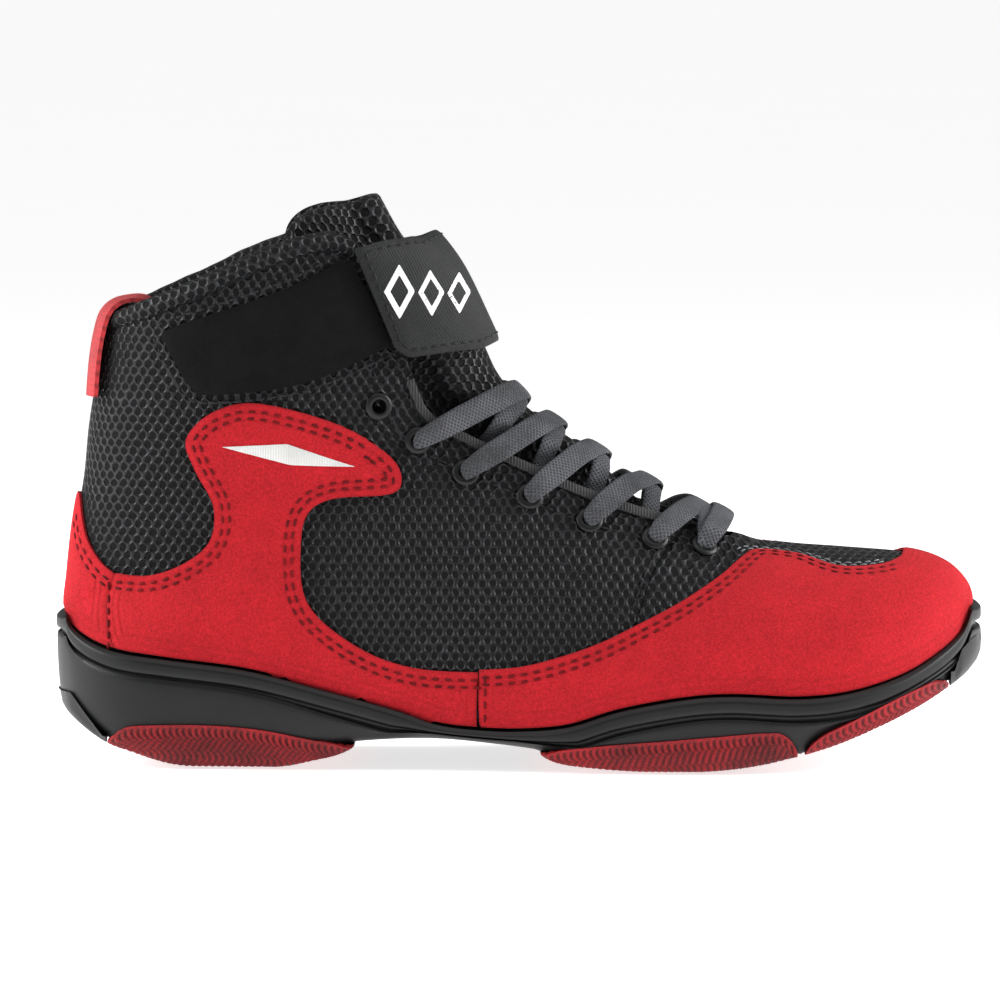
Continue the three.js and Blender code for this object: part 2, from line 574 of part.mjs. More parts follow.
// Velour anchor panel with the strap under its front edge, and the landing patch on the other side.
const ROOT_LOW = side([-38.2, 132.3]);
const ROOT_HIGH = side([-50.3, 161]);
const panelTop = outline([[-110.6, 134.5], [-104.7, 137.5], [-70.6, 149.3], [-55, 157.6]], 3);
const panelLow = outline([[-39.8, 130.6], [-66.6, 119.3], [-95.7, 115.6], [-102.2, 118.7],
  [-107.5, 127.3], [-110.6, 134.5]], 4);
const panelPoints = [...panelTop, new THREE.Vector2(ROOT_HIGH.x - 2.4, ROOT_HIGH.y - 4), ...panelLow];
add('strap_anchor', mainBody(half(overlay(panelPoints), -1).subtract(rollClear)), 'velour');
const landing = outline([[-100, 135], [-96, 140.5], [-70.6, 149.3], [-58, 155]], 3);
const landingPoints = [...landing, side([-43, 131]), side([-60, 122]), side([-88, 117]),
  side([-97, 124])];
add('landing_patch', mainBody(half(overlay(landingPoints), 1).subtract(rollClear)), 'velour');

// Tongue: full height between the throat edges, low under the quarters.
const TONGUE_LOW = -LININGS - 2.6;
const tongueTop = (x, z) => mix(TONGUE_LOW, -1.2, ease(6, 11.5, sideOf(throat, x, z)));
const tongueOutline = [side([-71.3, 166]), side([-62, 140]), side([-52, 116]), side([-40, 98]),
  side([-15, 86]), side([10, 76]), side([40, 64]), side([60, 58]), side([74, 58]), side([80, 90]),
  side([40, 177.8]), ...outline([[-36, 177.8], [-48, 177.4], [-60, 175], [-68.2, 171.3],
    [-71.3, 166]], 2)];
const tongueLayer = layer((x, z) => tongueTop(x, z) - TONGUE_T, tongueTop,
  { s0: 0.2, s1: 1, v0: -0.62, v1: 0.62, rings: 26 });

// Bindings along the throat, eyelets.
const bindingBand = (inset, width) => {
  const run = throatUp.filter((p) => p.x > -34);
  const shift = (p, i, d) => {
    const q = run[Math.min(run.length - 1, i + 1)];
    const o = run[Math.max(0, i - 1)];
    const n = new THREE.Vector2(q.y - o.y, o.x - q.x).normalize();
    return new THREE.Vector2(p.x + n.x * d, p.y + n.y * d);
  };
  return [...run.map((p, i) => shift(p, i, inset)), ...run.map((p, i) => shift(p, i, inset + width))
    .reverse()];
};
const bindingLayer = layer(GAP, GAP + 0.8)
  .intersect(prism(bindingBand(0.4, 2.4)));
add('binding_outer', mainBody(half(bindingLayer, -1)), 'binding');
add('binding_inner', mainBody(half(bindingLayer, 1)), 'binding');
for (const eyelet of eyelets) {
  const name = `eyelet_${eyelet.sign < 0 ? 'outer' : 'inner'}_${eyelet.k + 1}`;
  const shank = EYELET_R;
  add(name, toManifold(turned([[EYELET_BORE, -LININGS - 0.2], [shank, -LININGS - 0.2],
    [shank, 1.8 * GAP], [EYELET_FLANGE, 1.8 * GAP], [EYELET_FLANGE - 0.6, GAP + 0.9], [EYELET_BORE, GAP + 0.9],
    [EYELET_BORE, -LININGS - 0.2]], eyelet, 10)), 'ring');
}

// Lace: one flat lace, over each throat edge, across the tongue and up from under the other edge.
const LACE_OVER = GAP + 0.8 + GAP + LACE_T / 2 + 0.9;
const LACE_UNDER = -LININGS - GAP - 0.6 - LACE_T / 2;
const LACE_SIDE = 3.2;
const onTongue = (x, z) => 3.4 * GAP + LACE_T / 2 + Math.max(tongueTop(x, z),
  tongueTop(x + LACE_SIDE, z), tongueTop(x, z + LACE_SIDE), tongueTop(x + LACE_SIDE, z + LACE_SIDE));
const eyeletAt = (sign, k) => eyelets.find((e) => e.sign === sign && e.k === k);
const laceNode = (s, v, t, width, across) => ({ point: offsetPoint(s, v, t), width, across });
function laceBar(from, to, { upper, flip, dives, level }) {
  const along = (l) => ({ s: mix(from.s, to.s, l), v: mix(from.v, to.v, l) });
  const p0 = offsetPoint(from.s, from.v, 0);
  const p1 = offsetPoint(to.s, to.v, 0);
  const direction = p1.clone().sub(p0).normalize();
  const span = p0.distanceTo(p1);
  const across = (normal) => new THREE.Vector3().crossVectors(direction, normal).normalize()
    .multiplyScalar(flip);
  const nodes = [];
  const put = (l, t, width) => {
    const { s, v } = along(l);
    const { point, normal } = surfaceFrame(s, v);
    nodes.push(laceNode(s, v, typeof t === 'function' ? t(point) : t, width, across(normal)));
  };
  const near = 5 / span;
  const crossing = (p) => onTongue(p.x, p.z) + (upper ? LACE_T + GAP : 0);
  const over = LACE_OVER + (level ? LACE_T + GAP : 0);
  put(0, -1.6, 2.2);
  put(0, 1.8, 2.2);
  put(near * 0.4, over + 0.2, 4);
  put(near, over, LACE_W);
  for (const l of [0.16, 0.27]) put(l, over, LACE_W);
  for (const l of [0.4, 0.5, 0.6]) put(l, dives ? crossing : Math.max(over, LACE_OVER), LACE_W);
  if (dives) {
    for (const l of [0.66, 0.71, 0.76, 0.82]) {
      put(l, (p) => Math.max(LACE_UNDER, onTongue(p.x, p.z)), LACE_W * 0.85);
    }
    put(1 - near * 0.6, LACE_UNDER, 4.5);
    put(1, LACE_UNDER, 2.2);
  } else {
    for (const l of [0.73, 0.84]) put(l, over, LACE_W);
    put(1 - near, over, LACE_W);
    put(1 - near * 0.4, over, 4);
    put(1, 1.7, 2.4);
    put(1, -1.6, 2.2);
  }
  return nodes;
}
const route = [];
for (let k = 1; k < EYELET_COUNT; k += 1) route.push([k % 2 ? -1 : 1, k]);
for (let k = EYELET_COUNT - 1; k > 0; k -= 1) route.push([k % 2 ? 1 : -1, k]);
const holes = route.map(([sign, k]) => eyeletAt(sign, k));
const tuck = (hole, flip) => {
  const across = new THREE.Vector3(0.8, 0, -0.6).multiplyScalar(flip);
  return [[1.3, 5], [1.14, 4], [1, 2.2]].map(
    ([spread, width]) => laceNode(hole.s, hole.v * spread, LACE_UNDER, width, across));
};
const laceNodes = tuck(holes[0], 1);
for (let i = 0; i + 1 < holes.length; i += 1) {
  const [from, to] = [holes[i], holes[i + 1]];
  const down = from.k < to.k;
  const flip = i % 2 ? -1 : 1;
  if (from.k === to.k) laceNodes.push(...laceBar(from, to, { flip, dives: false, level: 1 }));
  else if (down) {
    laceNodes.push(...laceBar(from, to, { flip, upper: from.sign < 0, level: 0,
      dives: to.k < EYELET_COUNT - 1 }));
  } else {
    laceNodes.push(...laceBar(to, from, { flip: -flip, upper: to.sign < 0, level: 0,
      dives: from.k < EYELET_COUNT - 1 }).reverse());
  }
}
laceNodes.push(...tuck(holes.at(-1), -1).reverse());

// One convex block per step of the route, joined.
function ribbon(nodes, thickness) {
  const sections = nodes.map((node, i) => {
    const along = nodes[Math.min(nodes.length - 1, i + 1)].point.clone()
      .sub(nodes[Math.max(0, i - 1)].point).normalize();
    const across = node.across.clone().addScaledVector(along, -node.across.dot(along)).normalize();
    const flat = along.cross(across);
    const corner = (a, b) => node.point.clone().addScaledVector(across, a * node.width / 2)
      .addScaledVector(flat, b * thickness / 2).toArray();
    return [corner(-1, -1), corner(1, -1), corner(1, 1), corner(-1, 1)];
  });
  const blocks = [];
  for (let i = 0; i + 1 < sections.length; i += 1) {
    blocks.push(Manifold.hull([...sections[i], ...sections[i + 1]]));
  }
  return Manifold.union(blocks);
}
add('lace', mainBody(ribbon(laceNodes, LACE_T), 0.06), 'lace');

// The soft tongue and lining give way under the lace.
const give = laceNodes.map((node) => ({ ...node, width: node.width + 3 * GAP }));
const pressed = ribbon(give, LACE_T + 2 * GAP);
add('tongue', mainBody(tongueLayer.intersect(prism(tongueOutline)).subtract(pressed), 0.04), 'mesh');

// Closing strap over the throat, hinged along its sewn edge, with hook patch on its underside.
const frontRise = (x, z, v) => 2.9 + 4.6 * (1 - ease(0.05, 0.55, Math.abs(v)))
  * ease(128, 160, z * 178 / HEIGHT);
const strapLayer = layer(frontRise, (x, z, v) => frontRise(x, z, v) + STRAP_T);
const strapFront = [side([40, 118]), side([40, 190])];
const strapOuter = [new THREE.Vector2(ROOT_LOW.x, ROOT_LOW.y - 2), side([-33.8, 127]),
  side([-22, 128.6]), side([-9, 129.4]), ...strapFront, side([-28, 164.4]), side([-32, 165]),
  side([-41.8, 163.4]), new THREE.Vector2(ROOT_HIGH.x, ROOT_HIGH.y)];
const reach = STRAP_REACH * LENGTH / 290;
const strapInner = [side([-9, 129.4]), ...strapFront, side([-28, 164.4]), side([-44, 160]),
  side([-66, 149]), new THREE.Vector2(side([-44, 0]).x - reach, side([0, 143]).y),
  new THREE.Vector2(side([-44, 0]).x - reach - 2, side([0, 134]).y),
  new THREE.Vector2(side([-40, 0]).x - reach, side([0, 125]).y), side([-60, 123.5]),
  side([-36, 126.4]), side([-22, 128.6])];
const strap = strapLayer.intersect(prism(strapOuter, -90, 0.01).add(prism(strapInner, 0, 90)));
add('strap', mainBody(strap), 'strap');
const hookLayer = layer(GAP + OVERLAY_T + GAP, (x, z, v) => frontRise(x, z, v) - GAP);
const hookPatch = [side([-58, 127]), side([-57, 145]), side([-79, 139]), side([-82, 133]),
  side([-79, 127.5])];
add('strap_hook', mainBody(hookLayer.intersect(prism(hookPatch, 0, 90))), 'lining');

// Heel pull tab: a loop over the collar roll, sewn to the back and to the lining.
const bulk = 2 * (ROLL_R - 3.4);
const tabPath = [[-135.6, 114], [-134.8, 124], [-133.4 - bulk / 2, 133], [-131 - bulk / 2, 140.5 + bulk],
  [-126, 144.4 + bulk], [-119.5 + bulk, 144.2 + bulk], [-116 + bulk, 139.5], [-116.8 + bulk, 131]];
const tabOuter = outline(tabPath, 3);
const tabInner = tabOuter.map((p, i) => {
  const q = tabOuter[Math.min(tabOuter.length - 1, i + 1)];
  const o = tabOuter[Math.max(0, i - 1)];
  return p.clone().add(new THREE.Vector2(q.y - o.y, o.x - q.x).setLength(TAB_T));
});
add('pull_tab', prism([...tabOuter, ...tabInner.reverse()], -TAB_WIDTH / 2, TAB_WIDTH / 2), 'suede');

// Stand the boot on the ground, centred on its own box.
const box = new THREE.Box3().setFromObject(boot);
const shift = new THREE.Vector3(-(box.min.x + box.max.x) / 2, -(box.min.y + box.max.y) / 2, -box.min.z);
boot.children.forEach((mesh) => mesh.geometry.translate(shift.x, shift.y, shift.z));

export default boot;
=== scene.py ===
"""Boxing boot, right foot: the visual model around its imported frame.

Lengths inside the classes are millimetres in the last's own axes (+X toe, -Y outer side, +Z up).
They become metres in the frame when a mesh is made.
"""
import logging
import math
from dataclasses import dataclass, field
from enum import Enum
from typing import Callable, Sequence

import bpy
import numpy as np
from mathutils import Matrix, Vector
from mathutils.geometry import delaunay_2d_cdt


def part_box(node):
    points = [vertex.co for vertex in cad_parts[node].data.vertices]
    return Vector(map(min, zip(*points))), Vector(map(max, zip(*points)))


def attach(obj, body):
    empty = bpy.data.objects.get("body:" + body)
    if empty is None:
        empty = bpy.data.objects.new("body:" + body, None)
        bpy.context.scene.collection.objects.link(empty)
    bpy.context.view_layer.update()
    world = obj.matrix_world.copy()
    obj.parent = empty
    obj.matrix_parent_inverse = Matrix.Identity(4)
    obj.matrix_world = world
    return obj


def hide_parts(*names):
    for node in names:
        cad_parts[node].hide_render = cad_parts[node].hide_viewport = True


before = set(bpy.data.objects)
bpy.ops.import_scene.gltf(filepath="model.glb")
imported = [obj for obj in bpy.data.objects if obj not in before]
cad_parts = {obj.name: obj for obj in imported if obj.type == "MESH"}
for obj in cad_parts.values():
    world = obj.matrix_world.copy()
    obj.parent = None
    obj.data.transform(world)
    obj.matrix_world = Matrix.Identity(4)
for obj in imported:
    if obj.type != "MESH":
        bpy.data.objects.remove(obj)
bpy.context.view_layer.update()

LOG = logging.getLogger("boxing_boot")
MM = 0.001                        # metres in a millimetre
GAP = 0.3                         # space between sewn or glued pieces
TINY = 1e-9
TOE_END, HEEL_END = (52.0, 2.3), (34.0, 2.2)   # length and squareness of the rounded ends
Array = np.ndarray
Points = Sequence[Sequence[float]]
Offset = float | Callable[[Array, Array], Array]

# Side-view curves of the last, as (x, z).
RIDGE = [[141.5, 48.6], [139.3, 54.4], [133, 60.2], [122, 63.8], [102, 65.7], [84, 67.2], [70, 69.8],
         [46, 83], [28, 93.3], [13, 103.3], [2, 111.5], [-6, 121], [-12, 133], [-23, 149], [-36, 164.5],
         [-43, 178]]
REAR = [[141.5, 48.6], [137.9, 41.2], [130, 35], [118, 28.8], [102, 24.4], [86, 23], [65, 24],
        [50, 22.9], [31, 19.2], [15, 14.2], [0, 12.7], [-14, 13], [-26, 14.5], [-38, 18.6], [-59, 24.2],
        [-84, 30.4], [-108, 33.6], [-126, 36], [-137, 40.5], [-141.5, 46.5], [-140.6, 58],
        [-138.8, 73.7], [-136.3, 89], [-134.8, 104], [-132.6, 118], [-130.1, 133], [-127.5, 145],
        [-124, 158]]
PAIRS = [[0, 0], [1.2, 1], [3, 3], [5, 6], [7, 10], [9, 14], [10.4, 17], [11.2, 19], [12, 21.5],
         [13, 23.5], [14, 25.2], [15, 27]]
FEATHER_END = 19
TOPLINE = [[-134, 138.5], [-126, 141.5], [-116.2, 145], [-99.1, 151.8], [-83.6, 158.9],
           [-71.3, 163.6], [-60.4, 166.2], [-54.2, 165.1], [-49.6, 162]]
THROAT = [[-57, 180], [-49.6, 162], [-35.6, 127.9], [-27.9, 110.3], [-18, 103.8], [0, 95.1],
          [18.6, 86.7], [37.2, 79.9], [54.2, 75], [66, 70.6], [70, 76]]
GROUND = [[-145, 22], [-142, 19], [-130, 11], [-120, 7.6], [-108, 4.2], [-98, 3.5], [-75, 3.5],
          [-62, 6], [-50, 8.2], [-28, 9.4], [-8, 8], [6, 6.4], [20, 4.6], [37, 3.5], [56, 3.5], [72, 5],
          [86, 8], [97, 11], [108, 15], [121, 20.5], [130, 25], [139, 30], [145, 34]]


class Side(Enum):
    """Which side of the boot a panel is sewn to."""

    OUTER = -1
    INNER = 1


# ---- Curves ---------------------------------------------------------------------------------
def ease(low: float, high: float, value: Array) -> Array:
    """Smooth step from 0 at low to 1 at high."""
    t = np.clip((value - low) / (high - low), 0, 1)
    return t * t * (3 - 2 * t)


def mix(a: Array, b: Array, t: Array) -> Array:
    """Linear blend of a and b."""
    return a + (b - a) * t


def curve_at(points: Points, k: Array) -> Array:
    """Smooth curve through control points.

    Args:
        points: control points, of any dimension.
        k: positions, counted in control points.

    Returns:
        One row a position.
    """
    pts = np.asarray(points, float)
    n = len(pts)
    k = np.clip(np.asarray(k, float), 0, n - 1)
    i = np.minimum(k.astype(int), n - 2)
    w = (k - i)[:, None]
    p0, p1, p2, p3 = pts[np.maximum(i - 1, 0)], pts[i], pts[i + 1], pts[np.minimum(i + 2, n - 1)]
    v0, v1 = (p2 - p0) / 2, (p3 - p1) / 2
    return ((2 * p1 - 2 * p2 + v0 + v1) * w ** 3 + (-3 * p1 + 3 * p2 - 2 * v0 - v1) * w * w
            + v0 * w + p1)


def outline(points: Points, steps: int = 6) -> Array:
    """Smooth polyline through side-view points, with so many steps a span."""
    return curve_at(points, np.linspace(0, len(points) - 1, steps * (len(points) - 1) + 1))


def unit(rows: Array) -> Array:
    """Rows scaled to length 1."""
    return rows / np.maximum(np.linalg.norm(rows, axis=-1, keepdims=True), TINY)


def run_of(line: Array) -> Array:
    """Distance travelled along a polyline at each of its points."""
    return np.concatenate([[0], np.cumsum(np.linalg.norm(np.diff(line, axis=0), axis=1))])


def sample(at: Array, run: Array, rows: Array) -> Array:
    """Rows of values, read at other distances along the run."""
    return np.stack([np.interp(at, run, column) for column in rows.T], axis=1)


def resample(line: Array, spacing: float) -> Array:
    """Polyline with even steps of about the spacing, its two ends kept."""
    run = run_of(line)
    count = max(2, int(run[-1] / spacing) + 1)
    return sample(np.linspace(0, run[-1], count), run, line)


def closed(loop: Array) -> Array:
    """The loop with its first point repeated at its end."""
    return np.vstack([loop, loop[:1]])


def rounded(away: Array, end: tuple[float, float], offset: float = 0.0) -> Array:
    """Share of the full width left so far from a tip, for an end of (length, squareness)."""
    return np.sqrt(1 - (1 - np.clip(away / (end[0] + offset), 0, 1)) ** end[1])


def side_of(line: Array, xz: Array) -> Array:
    """Signed distance of points from a polyline, positive on its left.

    Args:
        line: polyline.
        xz: points, one a row.

    Returns:
        One distance a point.
    """
    a, d = line[:-1], np.diff(line, axis=0)
    rel = xz[:, None] - a[None]
    t = np.clip((rel * d).sum(2) / (d * d).sum(1), 0, 1)
    gap = np.linalg.norm(rel - t[..., None] * d, axis=2)
    best = gap.argmin(1)
    row = np.arange(len(xz))
    cross = d[best, 0] * rel[row, best, 1] - d[best, 1] * rel[row, best, 0]
    return gap[row, best] * np.where(cross < 0, -1, 1)


def inside(loop: Array, pts: Array) -> Array:
    """Whether each point is inside a closed loop."""
    a, b = loop, np.roll(loop, -1, axis=0)
    above = (a[None, :, 1] > pts[:, None, 1]) != (b[None, :, 1] > pts[:, None, 1])
    rise = np.where(b[:, 1] == a[:, 1], 1e-12, b[:, 1] - a[:, 1])
    x = a[:, 0] + (pts[:, None, 1] - a[:, 1]) * (b[:, 0] - a[:, 0]) / rise
    return (above & (pts[:, None, 0] < x)).sum(1) % 2 == 1


# ---- The last -------------------------------------------------------------------------------
@dataclass(frozen=True)
class Last:
    """The shape the upper is pulled over: rings s from toe to topline, v round them.

    v is 0 on the front ridge and 1 (inner) or -1 (outer) on the rear line; past 1 it goes on to
    the other side round the heel.
    """

    length: float = 290.0
    ball: float = 104.0
    heel: float = 69.0
    shaft: float = 74.0
    ledge: float = 3.5            # how far the sole stands out under the upper

    @property
    def reach(self) -> float:
        """Distance of the upper's two tips from the middle."""
        return self.length / 2 - self.ledge

    def centre_y(self, x: Array) -> Array:
        """Middle line of the boot seen from above."""
        return self.ball * (0.065 * ease(40, 150, x) - 0.02 * np.exp(-((x + 25) ** 2) / 2400))

    def foot_half(self, x: Array) -> Array:
        """Half width along the sole line, before its ends are rounded."""
        heel, ball = self.heel / 2 - self.ledge, self.ball / 2 - self.ledge
        keys = [-150, -112, -70, -25, 20, 50, 66, 84, 112, 150]
        wide = [heel * 0.97, heel, mix(heel, ball, 0.08), mix(heel, ball, 0.3), mix(heel, ball, 0.78),
                mix(heel, ball, 0.985), ball, mix(heel, ball, 0.97), mix(heel, ball, 0.8),
                mix(heel, ball, 0.6)]
        return sum(np.interp(x + d, keys, wide) for d in (-9, 0, 9)) / 3

    def pair(self, s: Array) -> tuple[Array, Array]:
        """Control positions on the ridge and on the rear line that ring s joins."""
        keys = np.asarray(PAIRS, float)
        step = np.diff(keys, axis=0)
        slope = np.vstack([step[:1], 2 * step[:-1] * step[1:] / (step[:-1] + step[1:]), step[-1:]])
        k = np.clip(s, 0, 1) * (len(keys) - 1)
        i = np.minimum(k.astype(int), len(keys) - 2)
        t = (k - i)[:, None]
        both = ((1 + 2 * t) * (1 - t) ** 2 * keys[i] + t * (1 - t) ** 2 * slope[i]
                + t * t * (3 - 2 * t) * keys[i + 1] - t * t * (1 - t) * slope[i + 1])
        return both[:, 0], both[:, 1]

    def point(self, s: Array, v: Array) -> Array:
        """Points of the upper at rings s and sides v."""
        s, v = np.clip(np.asarray(s, float), 0, 1), np.asarray(v, float)
        v = np.where(np.abs(v) > 1, (v + 1) % 2 - 1, v)
        ka, kb = self.pair(s)
        a, b = curve_at(RIDGE, ka), curve_at(REAR, kb)
        tip = rounded(self.reach - b[:, 0], TOE_END)
        still = rounded(b[:, 0] + self.reach, HEEL_END) * (kb < FEATHER_END)
        shaft = mix(self.shaft * 0.44, self.shaft / 2, ease(0.74, 1, s))
        half = mix(self.foot_half(b[:, 0]), shaft, ease(0.42, 0.78, s)) * tip
        w = np.abs(v)
        closing = 1 - ease(0.45, 0.72, s)
        u = mix((1 - np.cos(np.pi * w)) / 2, 1 - np.cos(np.pi * w / 2), closing)
        front = np.sqrt(np.maximum(0, 1 - (1 - u) ** mix(2.7, 2.3, closing)))
        back = np.sqrt(np.maximum(0, 1 - (1 - still ** 2) * u ** 3.4))
        xz = mix(a, b, u[:, None])
        y = self.centre_y(xz[:, 0]) + np.sign(v) * half * front * back
        return np.stack([xz[:, 0], y, xz[:, 1]], axis=1)

    def normal(self, s: Array, v: Array) -> Array:
        """Outward unit normals at rings s and sides v."""
        e = 0.004
        s, v = np.asarray(s, float), np.asarray(v, float)
        ds = self.point(np.minimum(1, s + e), v) - self.point(np.maximum(0, s - e), v)
        dv = self.point(s, v + e) - self.point(s, v - e)
        return unit(np.cross(dv, ds))

    def locate(self, xz: Array) -> Array:
        """Ring and side (v at least 0) of side-view points, one row (s, v) a point."""
        def nearest(s: Array) -> tuple[Array, Array]:
            """Distance from each point to each of its rings, and the share along the ring."""
            ka, kb = self.pair(s.ravel())
            a = curve_at(RIDGE, ka).reshape(*s.shape, 2)
            d = curve_at(REAR, kb).reshape(*s.shape, 2) - a
            rel = xz[:, None] - a
            u = np.clip((rel * d).sum(2) / np.maximum((d * d).sum(2), TINY), 0, 1)
            return np.linalg.norm(rel - u[..., None] * d, axis=2), u

        coarse = np.broadcast_to(np.linspace(0.004, 1, 400), (len(xz), 400))
        at = np.take_along_axis(coarse, nearest(coarse)[0].argmin(1)[:, None], 1)
        fine = np.clip(at + np.linspace(-1, 1, 61) / 400, 0.004, 1)
        gap, share = nearest(fine)
        best = gap.argmin(1)[:, None]
        s = np.take_along_axis(fine, best, 1)[:, 0]
        want = np.take_along_axis(share, best, 1)[:, 0]
        closing = 1 - ease(0.45, 0.72, s)
        low, high = np.zeros(len(s)), np.ones(len(s))
        for _ in range(22):
            w = (low + high) / 2
            u = mix((1 - np.cos(np.pi * w)) / 2, 1 - np.cos(np.pi * w / 2), closing)
            low, high = np.where(u < want, w, low), np.where(u < want, high, w)
        return np.stack([s, (low + high) / 2], axis=1)

    def locate_raised(self, xz: Array, offset: Offset) -> Array:
        """As locate, for points of a layer that stands off the surface."""
        base = xz.copy()
        for _ in range(3):
            sv = self.locate(base)
            point, n = self.point(sv[:, 0], sv[:, 1]), self.normal(sv[:, 0], sv[:, 1])
            off = offset(point, sv[:, 1]) if callable(offset) else np.full(len(sv), float(offset))
            base = xz - n[:, [0, 2]] * off[:, None]
        return self.locate(base)

    def lifted(self, s: Array, v: Array, offset: Offset) -> Array:
        """Points of a layer that stands off the surface."""
        point = self.point(s, v)
        off = offset(point, v) if callable(offset) else offset
        return point + self.normal(s, v) * np.reshape(off, (-1, 1) if np.ndim(off) else ())

    def shifted(self, sv: Array, move: Array) -> Array:
        """Rings and sides of points moved a little over the surface.

        Args:
            sv: rows (s, v).
            move: moves in space, one row a point.

        Returns:
            Rows (s, v) of the moved points.
        """
        e = 0.003
        out = sv.copy()
        target = self.point(sv[:, 0], sv[:, 1]) + move
        for _ in range(2):
            s, v = out[:, 0], out[:, 1]
            here = self.point(s, v)
            ds = (self.point(s + e, v) - self.point(s - e, v)) / (2 * e)
            dv = (self.point(s, v + e) - self.point(s, v - e)) / (2 * e)
            rest = target - here
            aa, bb, ab = (ds * ds).sum(1), (dv * dv).sum(1), (ds * dv).sum(1)
            ra, rb = (ds * rest).sum(1), (dv * rest).sum(1)
            det = np.maximum(aa * bb - ab * ab, 1e-6)
            out[:, 0] += np.clip((ra * bb - rb * ab) / det, -0.03, 0.03)
            out[:, 1] += np.clip((rb * aa - ra * ab) / det, -0.08, 0.08)
            out[:, 0] = np.clip(out[:, 0], 0.003, 1)
        return out


LAST = Last()
ROW_SHARE = 0.866                     # height of an even triangle as a share of its side
EDGE_MM, PUFF_MM = 0.7, 5.0           # how far in a pressed edge and a padded rise reach
SPREAD = np.array([360.0, 120.0])     # about how many millimetres one s and one v are
FEATHER = curve_at(REAR, np.linspace(0, FEATHER_END, 260))[::-1]
GROUND_LINE = outline(GROUND, 4)
THROAT_LINE = outline(THROAT, 3)
LOWER = FEATHER + [0, 2 * GAP]


def frame_shift() -> Array:
    """Move, in millimetres, from the last's own axes to the frame, from where the sole stands in each."""
    low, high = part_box("cupsole")
    x = np.linspace(-LAST.reach, LAST.reach, 400)
    middle, half = LAST.centre_y(x), LAST.foot_half(x) + LAST.ledge
    half = half * rounded(LAST.reach - x, TOE_END) * rounded(LAST.reach + x, HEEL_END)
    own = ((middle - half).min() + (middle + half).max()) / 2
    return np.array([(low[0] + high[0]) / 2 / MM, (low[1] + high[1]) / 2 / MM - own, 0.0])


SHIFT = frame_shift()


def feather_z(x: Array) -> Array:
    """Height of the line where the upper meets the sole."""
    return np.interp(x, FEATHER[:, 0], FEATHER[:, 1])


# ---- Materials ------------------------------------------------------------------------------
def srgb(code: str) -> tuple[float, float, float, float]:
    """Linear colour of an sRGB hex value such as "#A02020"."""
    parts = [int(code[i:i + 2], 16) / 255 for i in (1, 3, 5)]
    return (*(c / 12.92 if c <= 0.04045 else ((c + 0.055) / 1.055) ** 2.4 for c in parts), 1.0)


def add(tree: bpy.types.NodeTree, kind: str, sockets: dict | None = None, **settings) -> bpy.types.Node:
    """Adds a shader node.

    Args:
        tree: node tree.
        kind: type without its ShaderNode prefix.
        sockets: input name or number to a value, or to the output socket that feeds it.
        settings: properties of the node.

    Returns:
        The node.
    """
    made = tree.nodes.new("ShaderNode" + kind)
    for key, value in settings.items():
        setattr(made, key, value)
    for key, value in (sockets or {}).items():
        if isinstance(value, bpy.types.NodeSocket):
            tree.links.new(value, made.inputs[key])
        else:
            made.inputs[key].default_value = value
    return made


def calc(tree: bpy.types.NodeTree, operation: str, *values) -> bpy.types.NodeSocket:
    """Output of a math node."""
    return add(tree, "Math", dict(enumerate(values)), operation=operation).outputs[0]


def ramp(tree: bpy.types.NodeTree, value: bpy.types.NodeSocket, low: float, high: float,
         start: float = 0.0, stop: float = 1.0, curve: str = "LINEAR") -> bpy.types.NodeSocket:
    """Value that goes from start to stop while the given one goes from low to high."""
    return add(tree, "MapRange", {"Value": value, "From Min": low, "From Max": high, "To Min": start,
                                  "To Max": stop}, interpolation_type=curve).outputs[0]


def blend(tree: bpy.types.NodeTree, share: bpy.types.NodeSocket, a: object,
          b: object) -> bpy.types.NodeSocket:
    """Colour between a and b."""
    return add(tree, "Mix", {"Factor": share, 6: a, 7: b}, data_type="RGBA").outputs[2]


